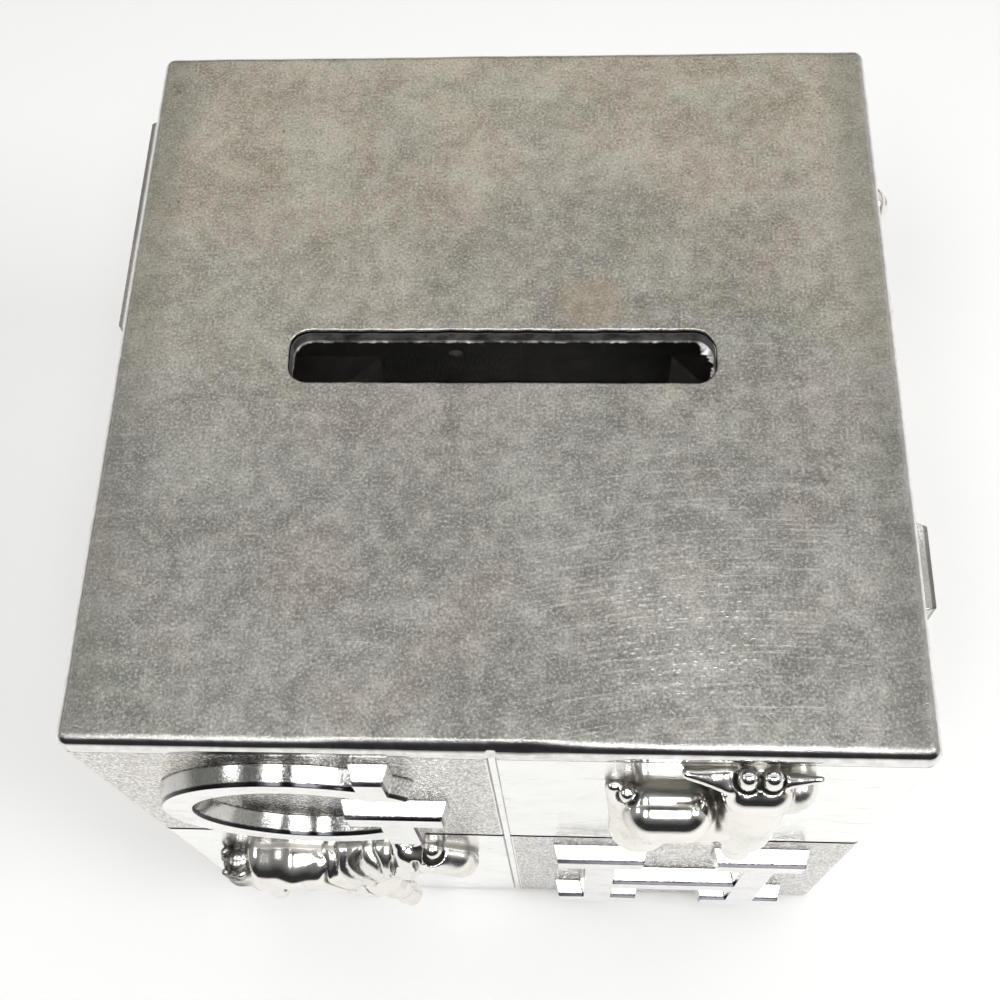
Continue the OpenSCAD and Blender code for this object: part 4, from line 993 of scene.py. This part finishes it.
                 (5.2, 4.4, 3.6, 0.22, 4.6, 0, 5.9, 0.22, 0.2),
                 (4.6, 0, 5.9, 0.22, 5.2, -4.2, 3.8, 0.22, 0.2)],
        "beads": [dot(8.4, 1.9, 3.9, 1.02)],
        "scales": [(-1.6, 0, 6.4, 5, 1.4, 0.34)],
        "waves": [(-11, 7, -11, -6.4, 9, 0.22, 4.2), (-4.4, 6.8, 4.2, 6.8, 6, 0.25, 2.2),
                  (-1.4, -2, 3.6, -1.4, 4, 0.2, 1.8)]},
}


# Underside: base metal, screws, rubber stopper and felt feet
def baseMetal():
    made, skin, point = material("baseMetal", 1, 0.4)
    cloud = noise(point, 14, 4, 0.6, 0.5, 80)
    fine = noise(point, 0.6, 4, 0.6, 0, 81)
    colour = mixed(rise(cloud, 0.3, 0.7), (0.38, 0.37, 0.35), (0.60, 0.59, 0.57))
    colour = layered(colour, (fine, 0.55, 0.75, 0.4, (0.28, 0.27, 0.26)))
    lines = most(*[scratches(point, angle, long, wide, 0.05, seed) for angle, long, wide, seed in (
        (30, 70, 1, 82), (-20, 60, 1.2, 83), (75, 60, 1.2, 84))])
    colour = mixed(lines * 0.5, colour, (0.8, 0.79, 0.77))
    rough = 0.38 + (fine - 0.5) * 0.2 + (cloud - 0.5) * 0.15 - lines * 0.1
    finishWith(skin, point, colour, rough, fine - lines * 0.5, 0.02)
    return made


def screwSteel():
    made, skin, point = material("screwSteel", 1, 0.25)
    fine = noise(point, 0.3, 3, 0.6, 0, 90)
    colour = mixed(rise(fine, 0.35, 0.75), (0.72, 0.72, 0.71), (0.44, 0.43, 0.42))
    finishWith(skin, point, colour, 0.2 + fine * 0.2, fine, 0.01)
    return made


def rubber():
    made, skin, point = material("blackRubber", 0, 0.6)
    cloud = noise(point, 6, 4, 0.6, 0.3, 100)
    fine = noise(point, 0.25, 3, 0.65, 0, 101)
    colour = mixed(rise(cloud, 0.4, 0.8) * 0.6, (0.018, 0.018, 0.019), (0.050, 0.049, 0.048))
    dust = rise(noise(point, 1.2, 5, 0.7, 0, 102), 0.6, 0.8)
    colour = mixed(dust * 0.25, colour, (0.16, 0.155, 0.15))
    finishWith(skin, point, colour, 0.52 + (cloud - 0.5) * 0.2 + dust * 0.15, fine + cloud * 0.4, 0.03)
    return made


def felt():
    made, skin, point = material("greenFelt", 0, 0.95)
    fibre = noise(stretched(point, (1.6, 0.3, 0.3), (0.4, 0.2, 0.9)), 0.5, 4, 0.7, 1.2, 110)
    other = noise(stretched(point, (1.8, 0.3, 0.3), (0.1, 0.5, -0.7)), 0.5, 4, 0.7, 1.2, 111)
    weave = most(fibre, other)
    colour = mixed(rise(weave, 0.45, 0.75), (0.018, 0.045, 0.028), (0.085, 0.16, 0.105))
    finishWith(skin, point, colour, None, weave, 0.12)
    return made


# A foot's outline as shares of its radius and height, and the loose fibres along its rim
feet = {
    "radius": 4,
    "around": 96,
    "outline": ((0.30, 0), (0.62, 0), (0.88, 0), (0.955, 0.05), (0.98, 0.2), (0.985, 0.5), (0.98, 0.8),
                (0.955, 0.97), (0.85, 1)),
    "ragged": 0.012,
    "fibres": 260,
    "fibre": 0.03,
}


def buildFeet(skin):
    wide, count, thin = feet["radius"], feet["around"], feet["fibre"]
    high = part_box("feet")[1]
    reach, tall = high.x * 1000 - wide, high.z * 1000
    chance = np.random.default_rng(21)
    points, faces = [], []
    for turn in range(4):
        centre = np.array(turned(reach, reach, turn))
        start = len(points)
        rough = loopNoise(count, (5, 9, 17, 29, 41), 30 + turn)
        loops = []
        for share, level in feet["outline"]:
            radius = wide * (share + feet["ragged"] * rough * (share > 0.9))
            up = level * tall + (0.05 * chance.uniform(0, 1, count) if 0.04 < level < 0.96 else 0)
            loops.append(circle(*centre, radius, up, count))
        footPoints, footFaces = rings(loops, start)
        points += list(footPoints)
        last = len(points) - count
        faces += footFaces
        faces += [tuple(range(start + count - 1, start - 1, -1)), tuple(range(last, last + count))]
        # Each fibre is a thin three-sided spike
        for i in range(feet["fibres"]):
            a = chance.uniform(0, 2 * math.pi)
            level = chance.uniform(0.12, 0.9) * tall
            b = a + chance.uniform(-0.09, 0.09)
            root = centre + wide * 0.965 * np.array([math.cos(a), math.sin(a)])
            tip = centre + wide * chance.uniform(0.985, 1) * np.array([math.cos(b), math.sin(b)])
            beside = np.array([-math.sin(a), math.cos(a)]) * thin
            tipLevel = min(max(level + chance.uniform(-0.2, 0.2), 0.02), tall)
            base = len(points)
            points += [(*(root + beside), level - 0.02), (*(root - beside), level - 0.02)]
            points += [(*root, level + thin), (*tip, tipLevel)]
            faces += [(base + i, base + (i + 1) % 3, base + 3) for i in range(3)]
    addPiece("feltFeet", points, faces, "bank", skin, "feet")
# Surroundings: a pale floor, a grey sky that is dark at the horizon, and soft boxes that the metal shows
def buildFloor():
    mesh = bpy.data.meshes.new("floor")
    mesh.from_pydata([(-3, -3, 0), (3, -3, 0), (3, 3, 0), (-3, 3, 0)], [], [(0, 1, 2, 3)])
    floor = bpy.data.objects.new("floor", mesh)
    bpy.context.scene.collection.objects.link(floor)
    made = bpy.data.materials.new("paleFloor")
    made.use_nodes = True
    skin = made.node_tree.nodes["Principled BSDF"]
    skin.inputs["Base Color"].default_value = (0.93, 0.93, 0.925, 1)
    skin.inputs["Roughness"].default_value = 0.9
    skin.inputs["Specular IOR Level"].default_value = 0.1
    mesh.materials.append(made)


def buildSky():
    world = bpy.data.worlds.new("studio")
    bpy.context.scene.world = world
    world.use_nodes = True
    world.node_tree.nodes.clear()
    start = Tap(world.node_tree)
    toward = start.node("ShaderNodeTexCoord", None, None, "Generated")
    x, y, z = axes(toward)
    # Nearly black at the horizon in front, grey overhead and at the sides, and bright behind for the plate
    level = mixed(rise(z, 0.42, 0.86), (0.03, 0.03, 0.034), (0.20, 0.20, 0.205))
    side = mixed(rise(x, -0.2, 0.2), (0.26, 0.26, 0.25), (0.5, 0.5, 0.48))
    level = mixed(rise(abs(x), 0.4, 0.8) * rise(y, -0.6, -0.25), level, side)
    level = mixed(rise(y, 0.05, 0.17) * rise(z, 0.1, 0.4), level, (0.84, 0.83, 0.80))
    # A dark round place overhead, and a pale ground
    lens = distanceAlong(toward, (-0.04, -0.16, 0.986))
    level = mixed(rise(lens, 0.955, 0.985), level, (0.05, 0.05, 0.055))
    level = mixed(rise(z, 0.03, -0.05), level, (0.8, 0.8, 0.8))
    sky = start.node("ShaderNodeBackground", None, {"Color": level, "Strength": 1})
    white = start.node("ShaderNodeBackground", None, {"Color": (1, 1, 1, 1), "Strength": 1})
    seen = start.node("ShaderNodeLightPath", None, None, "Is Camera Ray")
    shown = start.node("ShaderNodeMixShader", None, {0: seen, 1: sky, 2: white})
    start.node("ShaderNodeOutputWorld", None, {"Surface": shown})


# Lamps stand off the aim by a distance, tilted from upright and turned from the right, sizes across and up
lamps = {
    "frontLeft": {"tilt": 29, "turn": -124.4, "distance": 612, "size": (105, 215), "radiance": 10},
    "frontRight": {"tilt": 26.2, "turn": -68.8, "distance": 596, "size": (175, 215), "radiance": 10},
    "left": {"tilt": 50, "turn": -166, "distance": 600, "size": (140, 130), "radiance": 5},
    "right": {"tilt": 42, "turn": -19, "distance": 600, "size": (210, 210), "radiance": 8},
}


def buildLamps():
    aim = Vector((0, 0, 0.04))
    for name, lamp in lamps.items():
        tilt, turn = math.radians(lamp["tilt"]), math.radians(lamp["turn"])
        way = Vector((math.sin(tilt) * math.cos(turn), math.sin(tilt) * math.sin(turn), math.cos(tilt)))
        light = bpy.data.lights.new(name, "AREA")
        light.shape = "RECTANGLE"
        light.size, light.size_y = lamp["size"][0] / 1000, lamp["size"][1] / 1000
        light.energy = lamp["radiance"] * math.pi * light.size * light.size_y
        made = bpy.data.objects.new(name, light)
        bpy.context.scene.collection.objects.link(made)
        made.location = aim + way * lamp["distance"] / 1000
        level = Vector((1, 0, 0)) - way * way.x
        level.normalize()
        made.rotation_euler = Matrix((level, way.cross(level), way)).transposed().to_euler()


def buildCamera():
    camera = bpy.data.cameras.new("camera")
    made = bpy.data.objects.new("camera", camera)
    bpy.context.scene.collection.objects.link(made)
    camera.lens = 51.8115
    camera.sensor_width = 36
    camera.shift_x, camera.shift_y = 0.02, -0.11
    camera.clip_start, camera.clip_end = 0.01, 20
    made.location = (0.0067184, -0.0662682, 0.1987533)
    made.rotation_euler = [math.radians(a) for a in (27.2748, 3.1247, 1.7709)]
    bpy.context.scene.camera = made


buildCamera()
buildFloor()
buildSky()
buildLamps()
print("stage done")
buildTop(tarnished())
print("top plate done")
for side, node in enumerate(("front_panel", "right_panel", "back_panel", "left_panel")):
    dress(node, plated(node + ".plate", side))
print("panels done")
for side, pair in enumerate(("gh", "ab", "cd", "ef")):
    skin = frosted("frosted." + pair, side)
    for one in pair:
        buildLetter("letter_" + one, skin)
print("letters done")
shine = polished()
for name, figure in figures.items():
    buildFigure(name, figure, shine)
dress("base_plate", baseMetal())
dress("corner_lugs", nodes["base_plate"].data.materials[0])
dress("base_screws", screwSteel())
dress("stopper", rubber())
buildFeet(felt())
print("base done")

scene = bpy.context.scene
scene.view_settings.view_transform = "Standard"
